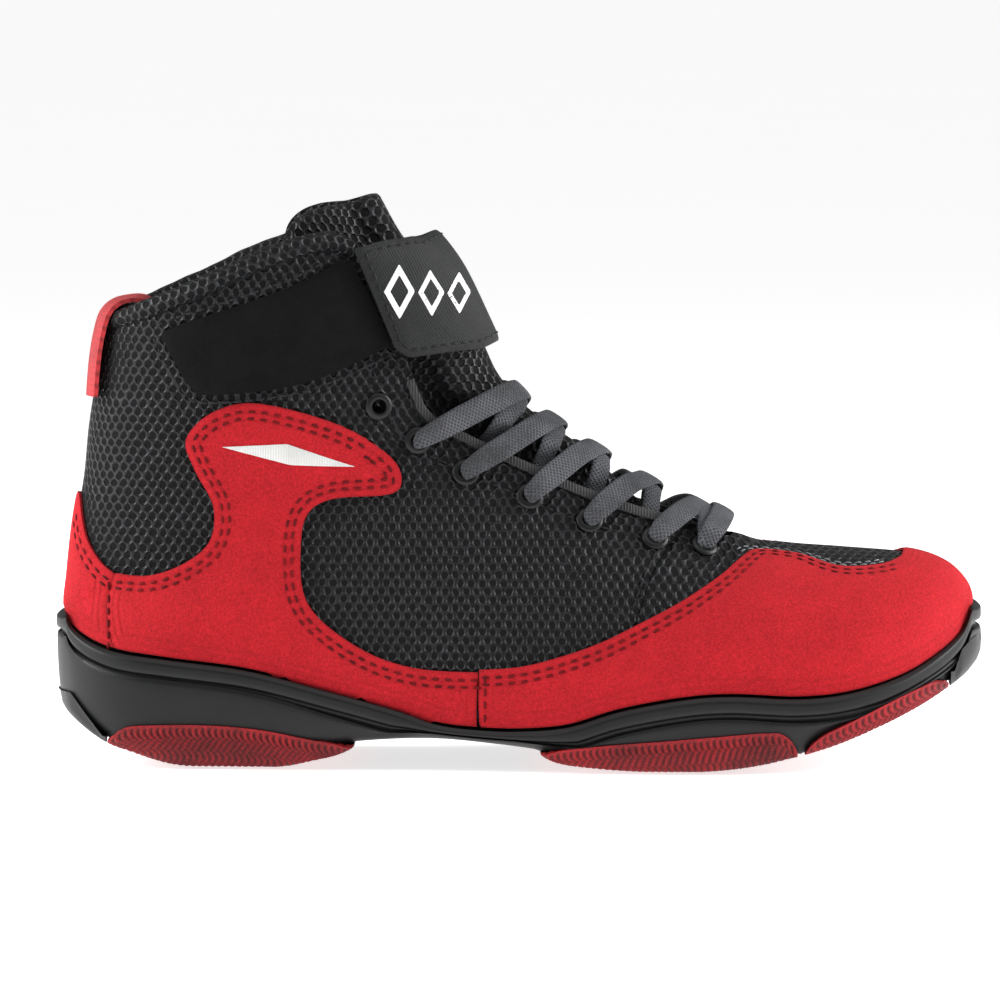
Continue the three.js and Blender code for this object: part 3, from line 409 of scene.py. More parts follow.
@dataclass(frozen=True)
class Finish:
    """A finish whose pattern follows the object: a noisy base colour, a bump and a soft sheen."""

    name: str
    colour: str
    shade: str                    # darker colour of the grain's hollows
    roughness: float = 0.8
    grain_mm: float = 0.6         # size of the finest grain
    grain_bump: float = 0.3
    patch_mm: float = 14.0        # size of broad uneven areas
    patch: float = 0.25
    sheen: float = 0.0
    sheen_tint: str = "#FFFFFF"
    ior: float = 1.5
    crease: float = 0.0           # depth of soft creases as broad as the patches

    def start(self) -> tuple[bpy.types.Material, bpy.types.NodeTree]:
        """New material with its principled shader set from the fields."""
        made = bpy.data.materials.new(self.name)
        made.use_nodes = True
        tree = made.node_tree
        shader = tree.nodes["Principled BSDF"]
        for key, value in (("Roughness", self.roughness), ("IOR", self.ior),
                           ("Sheen Weight", self.sheen), ("Sheen Roughness", 0.5),
                           ("Sheen Tint", srgb(self.sheen_tint))):
            shader.inputs[key].default_value = value
        made.diffuse_color = srgb(self.colour)
        return made, tree

    def grain(self, tree: bpy.types.NodeTree) -> tuple[bpy.types.NodeSocket, bpy.types.NodeSocket]:
        """Colour and fine grain height of the finish.

        Args:
            tree: node tree.

        Returns:
            The colour socket and the height socket.
        """
        where = add(tree, "TexCoord").outputs["Object"]
        fine = add(tree, "TexNoise", {"Vector": where, "Scale": 1 / (self.grain_mm * MM), "Detail": 4.0,
                                      "Roughness": 0.65}).outputs["Fac"]
        broad = add(tree, "TexNoise", {"Vector": where, "Scale": 1 / (self.patch_mm * MM), "Detail": 3.0,
                                       "Roughness": 0.55}).outputs["Fac"]
        level = calc(tree, "ADD", fine, ramp(tree, broad, 0.3, 0.7, -self.patch, self.patch))
        colour = blend(tree, ramp(tree, level, 0.28, 0.66), srgb(self.shade), srgb(self.colour))
        if self.crease:
            fine = calc(tree, "MULTIPLY_ADD", broad, self.crease, fine)
        return colour, fine

    def join(self, made: bpy.types.Material, colour: bpy.types.NodeSocket,
             height: bpy.types.NodeSocket, depth_mm: float) -> bpy.types.Material:
        """The material, with its shader given the base colour and a bump of that depth."""
        tree = made.node_tree
        shader = tree.nodes["Principled BSDF"]
        bump = add(tree, "Bump", {"Height": height, "Strength": self.grain_bump,
                                  "Distance": depth_mm * MM}).outputs[0]
        tree.links.new(colour, shader.inputs["Base Color"])
        tree.links.new(bump, shader.inputs["Normal"])
        return made

    def build(self) -> bpy.types.Material:
        """The finished material."""
        made, tree = self.start()
        return self.join(made, *self.grain(tree), self.grain_mm * 0.6)


@dataclass(frozen=True)
class Suede(Finish):
    """Split leather with a brushed nap: painted shade along its stitched channels, and darker cut edges.
    """

    channels: tuple[float, ...] = (2.6, 4.8)   # distance of each stitch row from the cut edge

    def build(self) -> bpy.types.Material:
        """The finished material."""
        made, tree = self.start()
        colour, height = self.grain(tree)
        edge = add(tree, "Attribute", attribute_name="edge").outputs["Fac"]
        dips: bpy.types.NodeSocket | None = None
        for row in self.channels:
            away = calc(tree, "SUBTRACT", edge, row)
            fall = ramp(tree, calc(tree, "MULTIPLY", away, away), 0.0, 0.5, 1.0, 0.0)
            dips = fall if dips is None else calc(tree, "MAXIMUM", dips, fall)
        rim = ramp(tree, edge, 0.0, 0.8, 0.75, 0.0)
        # Painted shade in the stitched channels, joined with the cut edge's own darker tone.
        channel_shade_and_edge_tone = calc(tree, "MAXIMUM", calc(tree, "MULTIPLY", dips, 0.22), rim)
        base = blend(tree, channel_shade_and_edge_tone, colour, srgb(self.shade))
        level = calc(tree, "ADD", height, calc(tree, "MULTIPLY", dips, -0.8))
        return self.join(made, base, level, 0.35)


@dataclass(frozen=True)
class SpacerMesh(Finish):
    """Polyester spacer knit: rounded yarn rings round open cells painted dark as shade."""

    pitch_mm: float = 3.3
    row_mm: float = 5.0           # height of two staggered rows of cells
    cell: float = 0.33            # radius of a cell as a share of the pitch
    pull_mm: float = 4.5          # size of the areas that are pulled a little out of line
    # Painted shade: the near-black colour that stands for the shade deep in the open cells.
    painted_hollow_shade: str = "#060607"

    def build(self) -> bpy.types.Material:
        """The finished material."""
        made, tree = self.start()
        colour, height = self.grain(tree)
        flat = add(tree, "UVMap", uv_map="cloth").outputs[0]
        where = add(tree, "TexCoord").outputs["Object"]
        pull = add(tree, "TexNoise", {"Vector": where, "Scale": 1 / (self.pull_mm * MM),
                                      "Detail": 2.0}).outputs["Color"]
        centred = add(tree, "VectorMath", {0: pull, 1: (0.5, 0.5, 0.5)},
                      operation="SUBTRACT").outputs[0]
        uv = add(tree, "VectorMath", {0: centred, 1: (1.5 * MM, 1.5 * MM, 0.0), 2: flat},
                 operation="MULTIPLY_ADD").outputs[0]
        size = (1 / (self.pitch_mm * MM), 1 / (self.row_mm * MM), 1.0)
        stretch = (1.0, self.row_mm / self.pitch_mm * 0.92, 0.0)
        distances = []
        for shift in (0.0, 0.5):
            cell = add(tree, "Mapping", {"Vector": uv, "Location": (shift, shift, 0.0),
                                         "Scale": size}).outputs[0]
            share = add(tree, "VectorMath", {0: cell}, operation="FRACTION").outputs[0]
            middle = add(tree, "VectorMath", {0: share, 1: (0.5, 0.5, 0.0)},
                         operation="SUBTRACT").outputs[0]
            real = add(tree, "VectorMath", {0: middle, 1: stretch}, operation="MULTIPLY").outputs[0]
            distances.append(add(tree, "VectorMath", {0: real},
                                 operation="LENGTH").outputs["Value"])
        near = calc(tree, "MINIMUM", *distances)
        yarn = ramp(tree, near, self.cell - 0.07, self.cell + 0.03, curve="SMOOTHSTEP")
        crown = ramp(tree, near, self.cell - 0.09, self.cell + 0.13, curve="SMOOTHERSTEP")
        tree.links.new(ramp(tree, yarn, 0.0, 1.0, 0.95, self.roughness),
                       tree.nodes["Principled BSDF"].inputs["Roughness"])
        level = calc(tree, "ADD", crown, calc(tree, "MULTIPLY", height, 0.18))
        # The open cells take the painted shade colour, the yarn its own.
        return self.join(made, blend(tree, yarn, srgb(self.painted_hollow_shade), colour), level, 0.7)


@dataclass(frozen=True)
class Woven(Finish):
    """Woven tape or lace: diagonal yarns both ways over the piece's own UV."""

    yarn_mm: float = 0.9
    lean: float = 1.0             # slope of the yarns; 0 gives straight cross ribs

    def build(self) -> bpy.types.Material:
        """The finished material."""
        made, tree = self.start()
        colour, height = self.grain(tree)
        uv = add(tree, "UVMap", uv_map="cloth").outputs[0]
        turns = 2 * math.pi / (self.yarn_mm * MM)
        waves = []
        for lean in (self.lean, -self.lean):
            phase = add(tree, "VectorMath", {0: uv, 1: (turns, lean * turns, 0.0)},
                        operation="DOT_PRODUCT").outputs["Value"]
            waves.append(calc(tree, "SINE", phase))
        level = ramp(tree, calc(tree, "MAXIMUM", *waves), -0.6, 1.0)
        return self.join(made, blend(tree, level, srgb(self.shade), colour),
                         calc(tree, "ADD", height, level), self.yarn_mm * 0.35)


@dataclass(frozen=True)
class TreadRubber(Finish):
    """Moulded rubber with the hollows between its ripples painted darker and duller as shade."""

    def build(self) -> bpy.types.Material:
        """The finished material."""
        made, tree = self.start()
        colour, height = self.grain(tree)
        # Painted shade: the ripple hollows are darkened towards the shade colour.
        low = add(tree, "Attribute", attribute_name="painted_hollow_shade").outputs["Fac"]
        base = blend(tree, calc(tree, "MULTIPLY", low, 0.85), colour, srgb(self.shade))
        return self.join(made, base, height, self.grain_mm * 0.5)


@dataclass(frozen=True)
class LitBackdrop(Finish):
    """White acrylic sweep, lit from below as well, so that it stays white to its far edge."""

    glow: float = 0.72

    def build(self) -> bpy.types.Material:
        """The finished material."""
        made = super().build()
        shader = made.node_tree.nodes["Principled BSDF"]
        shader.inputs["Emission Color"].default_value = (1, 1, 1, 1)
        shader.inputs["Emission Strength"].default_value = self.glow
        return made


# Pig split suede, brushed: a matt, slightly mottled red that lightens towards its rim.
# Its stitched channels are darkened with painted shade.
SUEDE = Suede("Suede_split_brushed_red", "#C4202A", "#8E161C", roughness=0.95, grain_mm=0.7,
              grain_bump=0.6, patch_mm=9, patch=0.04, sheen=0.12, sheen_tint="#FF5A5A", ior=1.3)
# Polyester spacer knit: black yarn rings with small highlights round open cells.
# Its open cells are painted near-black as shade.
MESH = SpacerMesh("Spacer_knit_polyester_black", "#1E1F22", "#070709", roughness=0.33, grain_mm=0.55,
                  grain_bump=1.0, patch_mm=2.6, patch=0.3, ior=1.36)
# Brushed nylon loop: very dark and soft, lighter where it turns away.
VELOUR = Finish("Velour_nylon_loop_black", "#131314", "#0A0A0B", roughness=1.0, grain_mm=0.5,
                grain_bump=0.5, patch_mm=9, patch=0.12, sheen=0.12, sheen_tint="#6C6F76", ior=1.25,
                crease=5.0)
# Coated webbing: a smooth dark strap with a fine woven face.
STRAP = Woven("Webbing_nylon_coated_black", "#17181A", "#0C0D0E", roughness=0.66, grain_mm=0.5,
              grain_bump=0.4, sheen=0.08, sheen_tint="#80838A", yarn_mm=0.8, lean=0.6, ior=1.4,
              patch_mm=9, crease=7.0)
# Moulded carbon-black rubber: satin with a fine sand texture and faint scuffs.
RUBBER = Finish("Rubber_moulded_black", "#101112", "#090A0A", roughness=0.45, grain_mm=0.35,
                grain_bump=0.2, patch_mm=16, patch=0.2, ior=1.38)
# Moulded red rubber: satin ripples whose hollows are darkened with painted shade.
RED_RUBBER = TreadRubber("Rubber_moulded_red", "#A6171F", "#300609", roughness=0.6, ior=1.36,
                         grain_mm=0.4, grain_bump=0.12, patch_mm=18, patch=0.12)
# Flat polyester lace: a tight herringbone in charcoal.
LACE = Woven("Lace_polyester_charcoal", "#606167", "#2A2B2E", roughness=0.75, grain_mm=0.3,
             grain_bump=0.9, sheen=0.1, sheen_tint="#A0A4AA", yarn_mm=1.3, lean=0.8)
# Grosgrain tape: fine cross ribs, a dull black at the throat and a brighter red at the heel.
BINDING = Woven("Grosgrain_polyester_black", "#1E1F21", "#0E0F10", roughness=0.7, grain_mm=0.3,
                grain_bump=0.6, sheen=0.2, yarn_mm=0.9, lean=0.0)
TAB = Woven("Grosgrain_polyester_red", "#CF2B32", "#8E191E", roughness=0.75, grain_mm=0.3,
            grain_bump=0.6, sheen=0.3, sheen_tint="#FF8A8A", yarn_mm=0.9, lean=0.25)
# Bonded sewing thread: short dull strokes, darker than the red, lighter than the black; the white
# embroidery thread has a silky cross rib.
THREAD_RED = Finish("Thread_polyester_dark_red", "#740F14", "#4A0A0D", roughness=0.7, grain_mm=0.2,
                    ior=1.25)
THREAD_BLACK = Finish("Thread_polyester_black", "#1C1D20", "#0E0F10", roughness=0.6, grain_mm=0.2,
                      ior=1.35)
THREAD_GREY = Finish("Thread_polyester_grey", "#8E9196", "#5E6064", roughness=0.5, grain_mm=0.2)
THREAD_WHITE = Woven("Thread_rayon_white", "#F1F1EF", "#C9C9C7", roughness=0.4, grain_mm=0.2,
                     grain_bump=0.5, yarn_mm=0.5, lean=0.0)
# Screen-printed ink: flat white with a slightly broken edge.
INK = Finish("Ink_screen_print_white", "#F4F4F2", "#D8D8D6", roughness=0.55, grain_mm=0.4)
# Black enamelled brass: a small hard highlight.
RING = Finish("Brass_enamelled_black", "#0E0F10", "#070708", roughness=0.4, grain_mm=0.8,
              grain_bump=0.06, ior=1.4)
# Warp-knit lining, EVA foam and fibre board, seen only through the opening.
LINING = Finish("Tricot_lining_black", "#1D1E20", "#0F1011", roughness=0.95, grain_mm=0.8,
                grain_bump=0.5, sheen=0.3, sheen_tint="#70737A")
FOAM = Finish("Foam_EVA_grey", "#3A3B3D", "#2A2B2D", roughness=1.0, grain_mm=1.0)
BOARD = Finish("Board_cellulose_tan", "#B9AB8C", "#8F8268", roughness=1.0, grain_mm=1.0)
# Matt white sweep: a clean ground with a soft shadow.
FLOOR = LitBackdrop("Acrylic_sweep_white", "#FBFBFB", "#F4F4F4", roughness=0.9, grain_mm=3.0,
                    grain_bump=0.02, patch_mm=300, patch=0.05)


# ---- Mesh making ----------------------------------------------------------------------------
def make(name: str, points: Array, faces: list, finish: Finish, body: str,
         uv: Array | None = None, attributes: dict[str, Array] | None = None,
         angle: float = 50.0) -> bpy.types.Object:
    """A finished piece in the frame.

    Args:
        name: piece name.
        points: vertices in millimetres of the last's axes.
        faces: lists of vertex numbers, outward.
        finish: its material.
        body: the body it rides on.
        uv: one row a vertex, in metres, or None.
        attributes: name to one value a vertex.
        angle: smoothing angle in degrees.

    Returns:
        The object.
    """
    mesh = bpy.data.meshes.new(name)
    mesh.from_pydata(((points + SHIFT) * MM).tolist(), [], [list(map(int, f)) for f in faces])
    mesh.validate()
    if uv is not None:
        layer = mesh.uv_layers.new(name="cloth")
        order = np.zeros(len(mesh.loops), dtype=np.int32)
        mesh.loops.foreach_get("vertex_index", order)
        layer.data.foreach_set("uv", np.ascontiguousarray(uv[order], dtype=np.float32).ravel())
    for key, values in (attributes or {}).items():
        mesh.attributes.new(key, "FLOAT", "POINT").data.foreach_set(
            "value", np.ascontiguousarray(values, dtype=np.float32))
    made = bpy.data.objects.new(name, mesh)
    bpy.context.scene.collection.objects.link(made)
    bpy.ops.object.select_all(action="DESELECT")
    bpy.context.view_layer.objects.active = made
    made.select_set(True)
    bpy.ops.object.shade_smooth_by_angle(angle=math.radians(angle))
    made.select_set(False)
    dress(made, finish)
    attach(made, body)
    LOG.info("%s: %d faces", name, len(mesh.polygons))
    return made


_MADE: dict[str, bpy.types.Material] = {}


def dress(piece: bpy.types.Object, finish: Finish) -> None:
    """Gives a piece one finish all over."""
    if finish.name not in _MADE:
        _MADE[finish.name] = finish.build()
    for place in piece.material_slots:
        place.material = _MADE[finish.name]
    if not piece.material_slots:
        piece.data.materials.append(_MADE[finish.name])


def cloth_uv(points: Array, normals: Array) -> Array:
    """Flat pattern coordinates, in metres, that keep their scale round the heel and the ridge."""
    round_mm = 33.0
    phi = np.arcsin(np.clip(-normals[:, 0], -1, 1))
    tip = np.arcsin(np.clip(normals[:, 2], -1, 1))
    u = points[:, 0] - round_mm * (phi - np.sin(phi))
    w = points[:, 2] + round_mm * (tip - np.sin(tip))
    return np.stack([u, w], axis=1) * MM


@dataclass
class Panel:
    """A piece of sheet material lasted over the upper, cut to a closed (s, v) loop."""

    loop: Array
    top: Offset
    thick: float
    step: float = 1.9
    holes: list[Array] = field(default_factory=list)
    soft_edge: float = 0.35       # share of the thickness that the edge is pressed down by
    puff: float = 0.0             # crowning of a padded sheet, mm

    def flat(self) -> tuple[Array, Array]:
        """Flat triangles inside the loop and outside the holes: points (v, s) and corners."""
        size = SPREAD[::-1]
        loop = resample(closed(self.loop)[:, ::-1] * size, self.step * 0.7)[:-1]
        if (loop[:, 0] * np.roll(loop[:, 1], -1) - loop[:, 1] * np.roll(loop[:, 0], -1)).sum() < 0:
            loop = loop[::-1]
        rims = [loop, *(h[:, ::-1] * size for h in self.holes)]
        low, high = loop.min(0), loop.max(0)
        columns = np.arange(low[0], high[0], self.step)
        grid = np.array([(c + (0.5 * self.step if r % 2 else 0), y) for r, y in enumerate(
            np.arange(low[1], high[1], self.step * ROW_SHARE)) for c in columns])
        grid = grid[inside(loop, grid)]
        for rim in rims:
            grid = grid[np.abs(side_of(closed(rim), grid)) > 0.5 * self.step]
        edges, start = [], 0
        for rim in rims:
            edges += [(start + i, start + (i + 1) % len(rim)) for i in range(len(rim))]
            start += len(rim)
        out = delaunay_2d_cdt([Vector(p) for p in np.vstack([*rims, grid])], edges,
                              [list(range(len(loop)))], 1, 1e-5)
        plane = np.array([tuple(p) for p in out[0]])
        tris = np.array([f for f in out[2] if len(f) == 3])
        for rim in rims[1:]:
            tris = tris[~inside(rim, plane[tris].mean(1))]
        a, b, c = (plane[tris[:, k]] for k in range(3))
        turn = (b[:, 0] - a[:, 0]) * (c[:, 1] - a[:, 1]) - (b[:, 1] - a[:, 1]) * (c[:, 0] - a[:, 0])
        tris = np.where(turn[:, None] < 0, tris[:, ::-1], tris)
        used, tris = np.unique(tris, return_inverse=True)
        return plane[used] / size, tris.reshape(-1, 3)

    def build(self, name: str, finish: Finish, slot: str, body: str = "boot") -> bpy.types.Object:
        """Builds the panel as a closed shell.

        Args:
            name: piece name.
            finish: its material.
            slot: not used.
            body: the body it rides on.

        Returns:
            The object.
        """
        plane, tris = self.flat()
        v, s = plane.T
        point, n = LAST.point(s, v), LAST.normal(s, v)
        sides = {(t[i], t[(i + 1) % 3]): None for t in tris.tolist() for i in range(3)}
        border = [e for e in sides if e[::-1] not in sides]
        marks = np.unique(np.array(border))
        edge = np.full(len(point), 99.0)
        for part in np.array_split(marks, max(1, len(marks) // 60)):
            edge = np.minimum(edge, np.linalg.norm(point[:, None] - point[None, part], axis=2).min(1))
        edge[marks] = 0
        top = self.top(point, v) if callable(self.top) else np.full(len(point), float(self.top))
        lift = (top - self.soft_edge * self.thick * np.exp(-edge / EDGE_MM)
                + self.puff * (1 - np.exp(-edge / PUFF_MM)))
        upper = point + n * lift[:, None]
        lower = point + n * (top - self.thick)[:, None]
        m = len(point)
        faces = tris.tolist() + (tris[:, ::-1] + m).tolist()
        faces += [(b, a, a + m, b + m) for a, b in border]
        uv = cloth_uv(point, n)
        return make(name, np.vstack([upper, lower]), faces, finish, body,
                    uv=np.vstack([uv, uv]), attributes={"edge": np.concatenate([edge, edge * 0])})


def wrap(line: Array, side: Side | None = None) -> Array:
    """(s, v) rows given the sign of one side."""
    out = line.copy()
    if side is Side.OUTER:
        out[:, 1] *= -1
    return out


def round_heel(line: Array) -> Array:
    """Loop of a panel that goes round the heel, from its inner half that starts and ends there."""
    mirrored = line[::-1].copy()
    mirrored[:, 1] = 2 - mirrored[:, 1]
    return np.vstack([line, mirrored])


def over_ridge(line: Array) -> Array:
    """Loop of a panel that goes over the ridge, from its inner half that starts and ends there."""
    mirrored = line[::-1].copy()
    mirrored[:, 1] *= -1
    return np.vstack([line, mirrored])


def seam(line: Array, inset: float, top: Offset, pitch: float, flip: bool = False) -> tuple:
    """Places of the stitches of a row that runs beside a line.

    Args:
        line: rows (s, v) along the panel edge.
        inset: distance of the row from the edge; the row is on the left, or on the right if flip.
        top: height of the sewn surface.
        pitch: stitch length with its gap.
        flip: sews on the right of the line.

    Returns:
        Centres, directions and normals, one row a stitch.
    """
    sv = resample(line * SPREAD, 1.0) / SPREAD
    point, n = LAST.point(*sv.T), LAST.normal(*sv.T)
    inward = np.cross(n, unit(np.gradient(point, axis=0))) * (-1 if flip else 1)
    moved = LAST.shifted(sv, inward * inset)
    place, base = LAST.lifted(*moved.T, top), LAST.point(*moved.T)
    # Where the line turns sharply, the places that fold back towards it are dropped.
    clear = np.linalg.norm(base[:, None] - point[None], axis=2).min(1) > inset * 0.88
    place, moved = place[clear], moved[clear]
    run, aside = run_of(place), 0.3
    at = np.arange(pitch / 2, run[-1], pitch)
    along = sample(at + aside, run, place) - sample(at - aside, run, place)
    size = np.linalg.norm(along, axis=1)
    ok = (size > aside) & (size < 3 * aside)
    normal = LAST.normal(*sample(at, run, moved).T)
    return sample(at, run, place)[ok], unit(along)[ok], normal[ok]


def sew(name: str, rows: list[tuple], finish: Finish, body: str = "boot",
        length: float = 2.5, radius: float = 0.42) -> bpy.types.Object:
    """All stitches of one thread as one piece.

    Args:
        name: piece name.
        rows: results of seam().
        finish: the thread.
        body: the body it rides on.
        length: visible length of a stitch.
        radius: radius of the thread.

    Returns:
        The object.
    """
    centre, along, n = (np.vstack([r[i] for r in rows]) for i in range(3))
    across = unit(np.cross(along, n))
    up = np.cross(across, along)
    sides = 6
    # Rings of one stitch: place along it, radius and height, its ends pulled into the material.
    rings = [(-0.5, 0.4, -0.55), (-0.38, 0.92, -0.1), (0, 1, 0.2), (0.38, 0.92, -0.1),
             (0.5, 0.4, -0.55)]
    turn = [2 * math.pi * j / sides for j in range(sides)]
    t = np.array([(a * length, r * radius * math.cos(w),
                   h * radius + r * radius * 0.85 * math.sin(w))
                  for a, r, h in rings for w in turn])
    points = (centre[:, None] + along[:, None] * t[None, :, :1] + across[:, None] * t[None, :, 1:2]
              + up[:, None] * t[None, :, 2:3]).reshape(-1, 3)
    *walls, foot, head = tube_faces(len(rings), sides)
    one = [f[1:] + f[:1] for f in walls] + [foot, head]
    faces = [[v + m * len(t) for v in f] for m in range(len(centre)) for f in one]
    return make(name, points, faces, finish, body, angle=80)


def tube_faces(rings: int, sides: int) -> list:
    """Faces of a tube of closed rings with flat ends."""
    faces = [[i * sides + j, (i + 1) * sides + j, (i + 1) * sides + (j + 1) % sides,
              i * sides + (j + 1) % sides] for i in range(rings - 1) for j in range(sides)]
    ends = [list(range(sides)), [(rings - 1) * sides + j for j in range(sides)][::-1]]
    return faces + ends


def grid_shell(outer: Array, inner: Array) -> tuple[Array, list]:
    """Closed shell between two grids of points, as vertices and faces."""
    rows, cols = outer.shape[:2]
    points = np.vstack([outer.reshape(-1, 3), inner.reshape(-1, 3)])
    at = lambda i, j, k: (k * rows + i) * cols + j
    faces = []
    for i in range(rows - 1):
        for j in range(cols - 1):
            faces.append([at(i, j, 0), at(i + 1, j, 0), at(i + 1, j + 1, 0), at(i, j + 1, 0)])
            faces.append([at(i, j, 1), at(i, j + 1, 1), at(i + 1, j + 1, 1), at(i + 1, j, 1)])
    for i in range(rows - 1):
        faces.append([at(i, 0, 1), at(i + 1, 0, 1), at(i + 1, 0, 0), at(i, 0, 0)])
        faces.append([at(i, cols - 1, 0), at(i + 1, cols - 1, 0), at(i + 1, cols - 1, 1),
                      at(i, cols - 1, 1)])
    for j in range(cols - 1):
        faces.append([at(0, j, 0), at(0, j + 1, 0), at(0, j + 1, 1), at(0, j, 1)])
        faces.append([at(rows - 1, j, 1), at(rows - 1, j + 1, 1), at(rows - 1, j + 1, 0),
                      at(rows - 1, j, 0)])
    return points, faces


def tube(centres: Array, across: Array, widths: Array, thick: Array, sides: int = 14,
         power: float = 2.6) -> tuple[Array, list, Array]:
    """Flat-oval tube along a path.

    Args:
        centres: points of the path.
        across: direction of the width at each point.
        widths: width at each point.
        thick: thickness at each point.
        sides: points of a section.
        power: squareness of a section; 2 is an oval.

    Returns:
        Vertices, faces and UV rows in metres.
    """
    along = unit(np.gradient(centres, axis=0))
    across = unit(across - (across * along).sum(1, keepdims=True) * along)
    up = np.cross(along, across)
    turn = np.arange(sides) * 2 * math.pi / sides
    c, s = np.cos(turn), np.sin(turn)
    wide = np.sign(c) * np.abs(c) ** (2 / power)
    high = np.sign(s) * np.abs(s) ** (2 / power)
    points = (centres[:, None] + across[:, None] * (wide * 0.5)[None, :, None] * widths[:, None, None]
              + up[:, None] * (high * 0.5)[None, :, None] * thick[:, None, None])
    faces = [f[::-1] for f in tube_faces(len(centres), sides)]
    uv = np.stack(np.broadcast_arrays(run_of(centres)[:, None],
                                      wide[None] * widths[:, None] / 2), axis=2)
    return points.reshape(-1, 3), faces, uv.reshape(-1, 2) * MM


# ---- Sub-assemblies -------------------------------------------------------------------------
@dataclass
class Sole:
    """Black cup sole with three red rippled tread pods."""

    stations: int = 220           # points along each side of a level
    lip: float = 4.9              # height of the lip
    groove: float = 1.4           # depth of the groove under it
    tread_depth: float = 3.5      # how far the pods stand down under the black rubber
    pod_proud: float = 0.9        # how far they stand out at the side
    ripple_pitch: float = 2.0
    ripple_depth: float = 0.62
    samples: int = 44             # points from the middle of a pod to its rim
    tread_curve: tuple = ((-3.2, 0.35), (-1.7, 1.4), (-0.8, 3.2), (-0.3, 6.0))   # (out, up)
    pod_end: float = 7.0          # length over which a pod rounds off
    seat_drop: float = 1.8        # how far the black rubber reaches down beside the pods

    def top(self, x: Array) -> Array:
        """Height of the sole's upper edge."""
        return feather_z(x) - 0.9 * GAP

    def bottom(self, x: Array) -> Array:
        """Height of the black sole's underside."""
        return np.interp(x, *GROUND_LINE.T)

    def tread(self, x: Array) -> Array:
        """Height of the underside of the treads and bumpers."""
        return np.maximum(0, self.bottom(x) - self.tread_depth)

    def seat(self, x: Array) -> Array:
        """Height of the black rubber over the treads, which reaches down between them."""
        arch = ease(ARCH[0] - 9, ARCH[0] + 1, x) * (1 - ease(ARCH[1] - 2.2, ARCH[1] + 5.8, x))
        between = 1 - ease(0.6, 2.6, np.abs(x - POD_SPLIT))
        return self.bottom(x) - self.seat_drop * (1 - arch) - 1.3 * between

    def half(self, x: Array, offset: float) -> Array:
        """Half width of the level that stands so far outside the upper."""
        tip = LAST.reach + offset
        ends = rounded(tip - x, TOE_END, offset) * rounded(x + tip, HEEL_END, offset)
        return (LAST.foot_half(x * LAST.reach / tip) + offset) * ends

    def level(self, offset: float, heights: Callable[[Array], Array]) -> Array:
        """One closed loop of the sole as rows (offset x, centre y, half width, z)."""
        t = np.linspace(0, 1, self.stations)
        t = mix(t, 0.5 - 0.5 * np.cos(np.pi * t), 0.75)
        reach, tip = LAST.reach, LAST.reach + offset
        x = mix(-tip, tip, t)
        return np.stack([x, LAST.centre_y(x * reach / tip), self.half(x, offset),
                         heights(np.clip(x, -reach, reach))], axis=1)

    def cup(self) -> None:
        """The black sole with its lip and the groove under it."""
        edge = LAST.ledge

        def thick(x: Array) -> Array:
            """Height of the black side."""
            return self.top(x) - self.bottom(x)

        def under(x: Array, share: float, drop: float) -> Array:
            """Height under the lip, by a share of the groove's depth, which fades where it is thin."""
            deep = self.groove * np.clip((thick(x) - 5) / 6, 0, 1)
            return self.top(x) - np.minimum(self.lip, 0.5 * thick(x)) - deep * share - drop

        levels = np.stack([
            self.level(edge - 7.5, self.seat),
            self.level(edge - 3.4, lambda x: self.seat(x) + np.minimum(0.9, 0.15 * thick(x))),
            self.level(edge - 1.0, lambda x: self.bottom(x) + np.minimum(3.0, 0.3 * thick(x))),
            self.level(edge - 0.1, lambda x: under(x, 1.9, 0.3)),
            self.level(edge - self.groove, lambda x: under(x, 1.2, 0.1)),
            self.level(edge - self.groove, lambda x: under(x, 0.4, 0.0)),
            self.level(edge, lambda x: under(x, 0.0, -0.3)),
            self.level(edge + 0.15, lambda x: (self.top(x) + under(x, 0.0, 0.0)) / 2),
            self.level(edge - 0.1, lambda x: self.top(x) - 1.2),
            self.level(edge - 1.2, self.top)])
        n = self.stations
        fine = curve_at(levels.reshape(len(levels), -1), np.linspace(0, len(levels) - 1, 46))
        x, middle, half, z = np.moveaxis(fine.reshape(-1, n, 4), 2, 0)
        outer, inner = (np.stack([x, middle + side * half, z], axis=2) for side in (-1, 1))
        rings = np.concatenate([outer, inner[:, ::-1][:, 1:-1]], axis=1)
        around, count = rings.shape[1], len(rings)
        faces = [[i * around + j, i * around + (j + 1) % around, (i + 1) * around + (j + 1) % around,
                  (i + 1) * around + j] for i in range(count - 1) for j in range(around)]
        last = (count - 1) * around
        for j in range(n - 1):
            k, m = (around - j) % around, (around - j - 1) % around
            faces.append([k, m, j + 1, j])
            faces.append([last + j, last + j + 1, last + m, last + k])
        faces = [list(dict.fromkeys(f)) for f in faces]
        made = make("cup_sole", rings.reshape(-1, 3), faces, RUBBER, "boot", angle=45)
        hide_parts("cupsole")

    def blunt(self, x: Array, x0: float, x1: float) -> Array:
        """Share of a pod's height left near its two rounded ends."""
        near = np.clip(np.minimum(x - x0, x1 - x) / self.pod_end, 0, 1)
        return np.sqrt(np.maximum(0, 1 - (1 - near) ** 2))

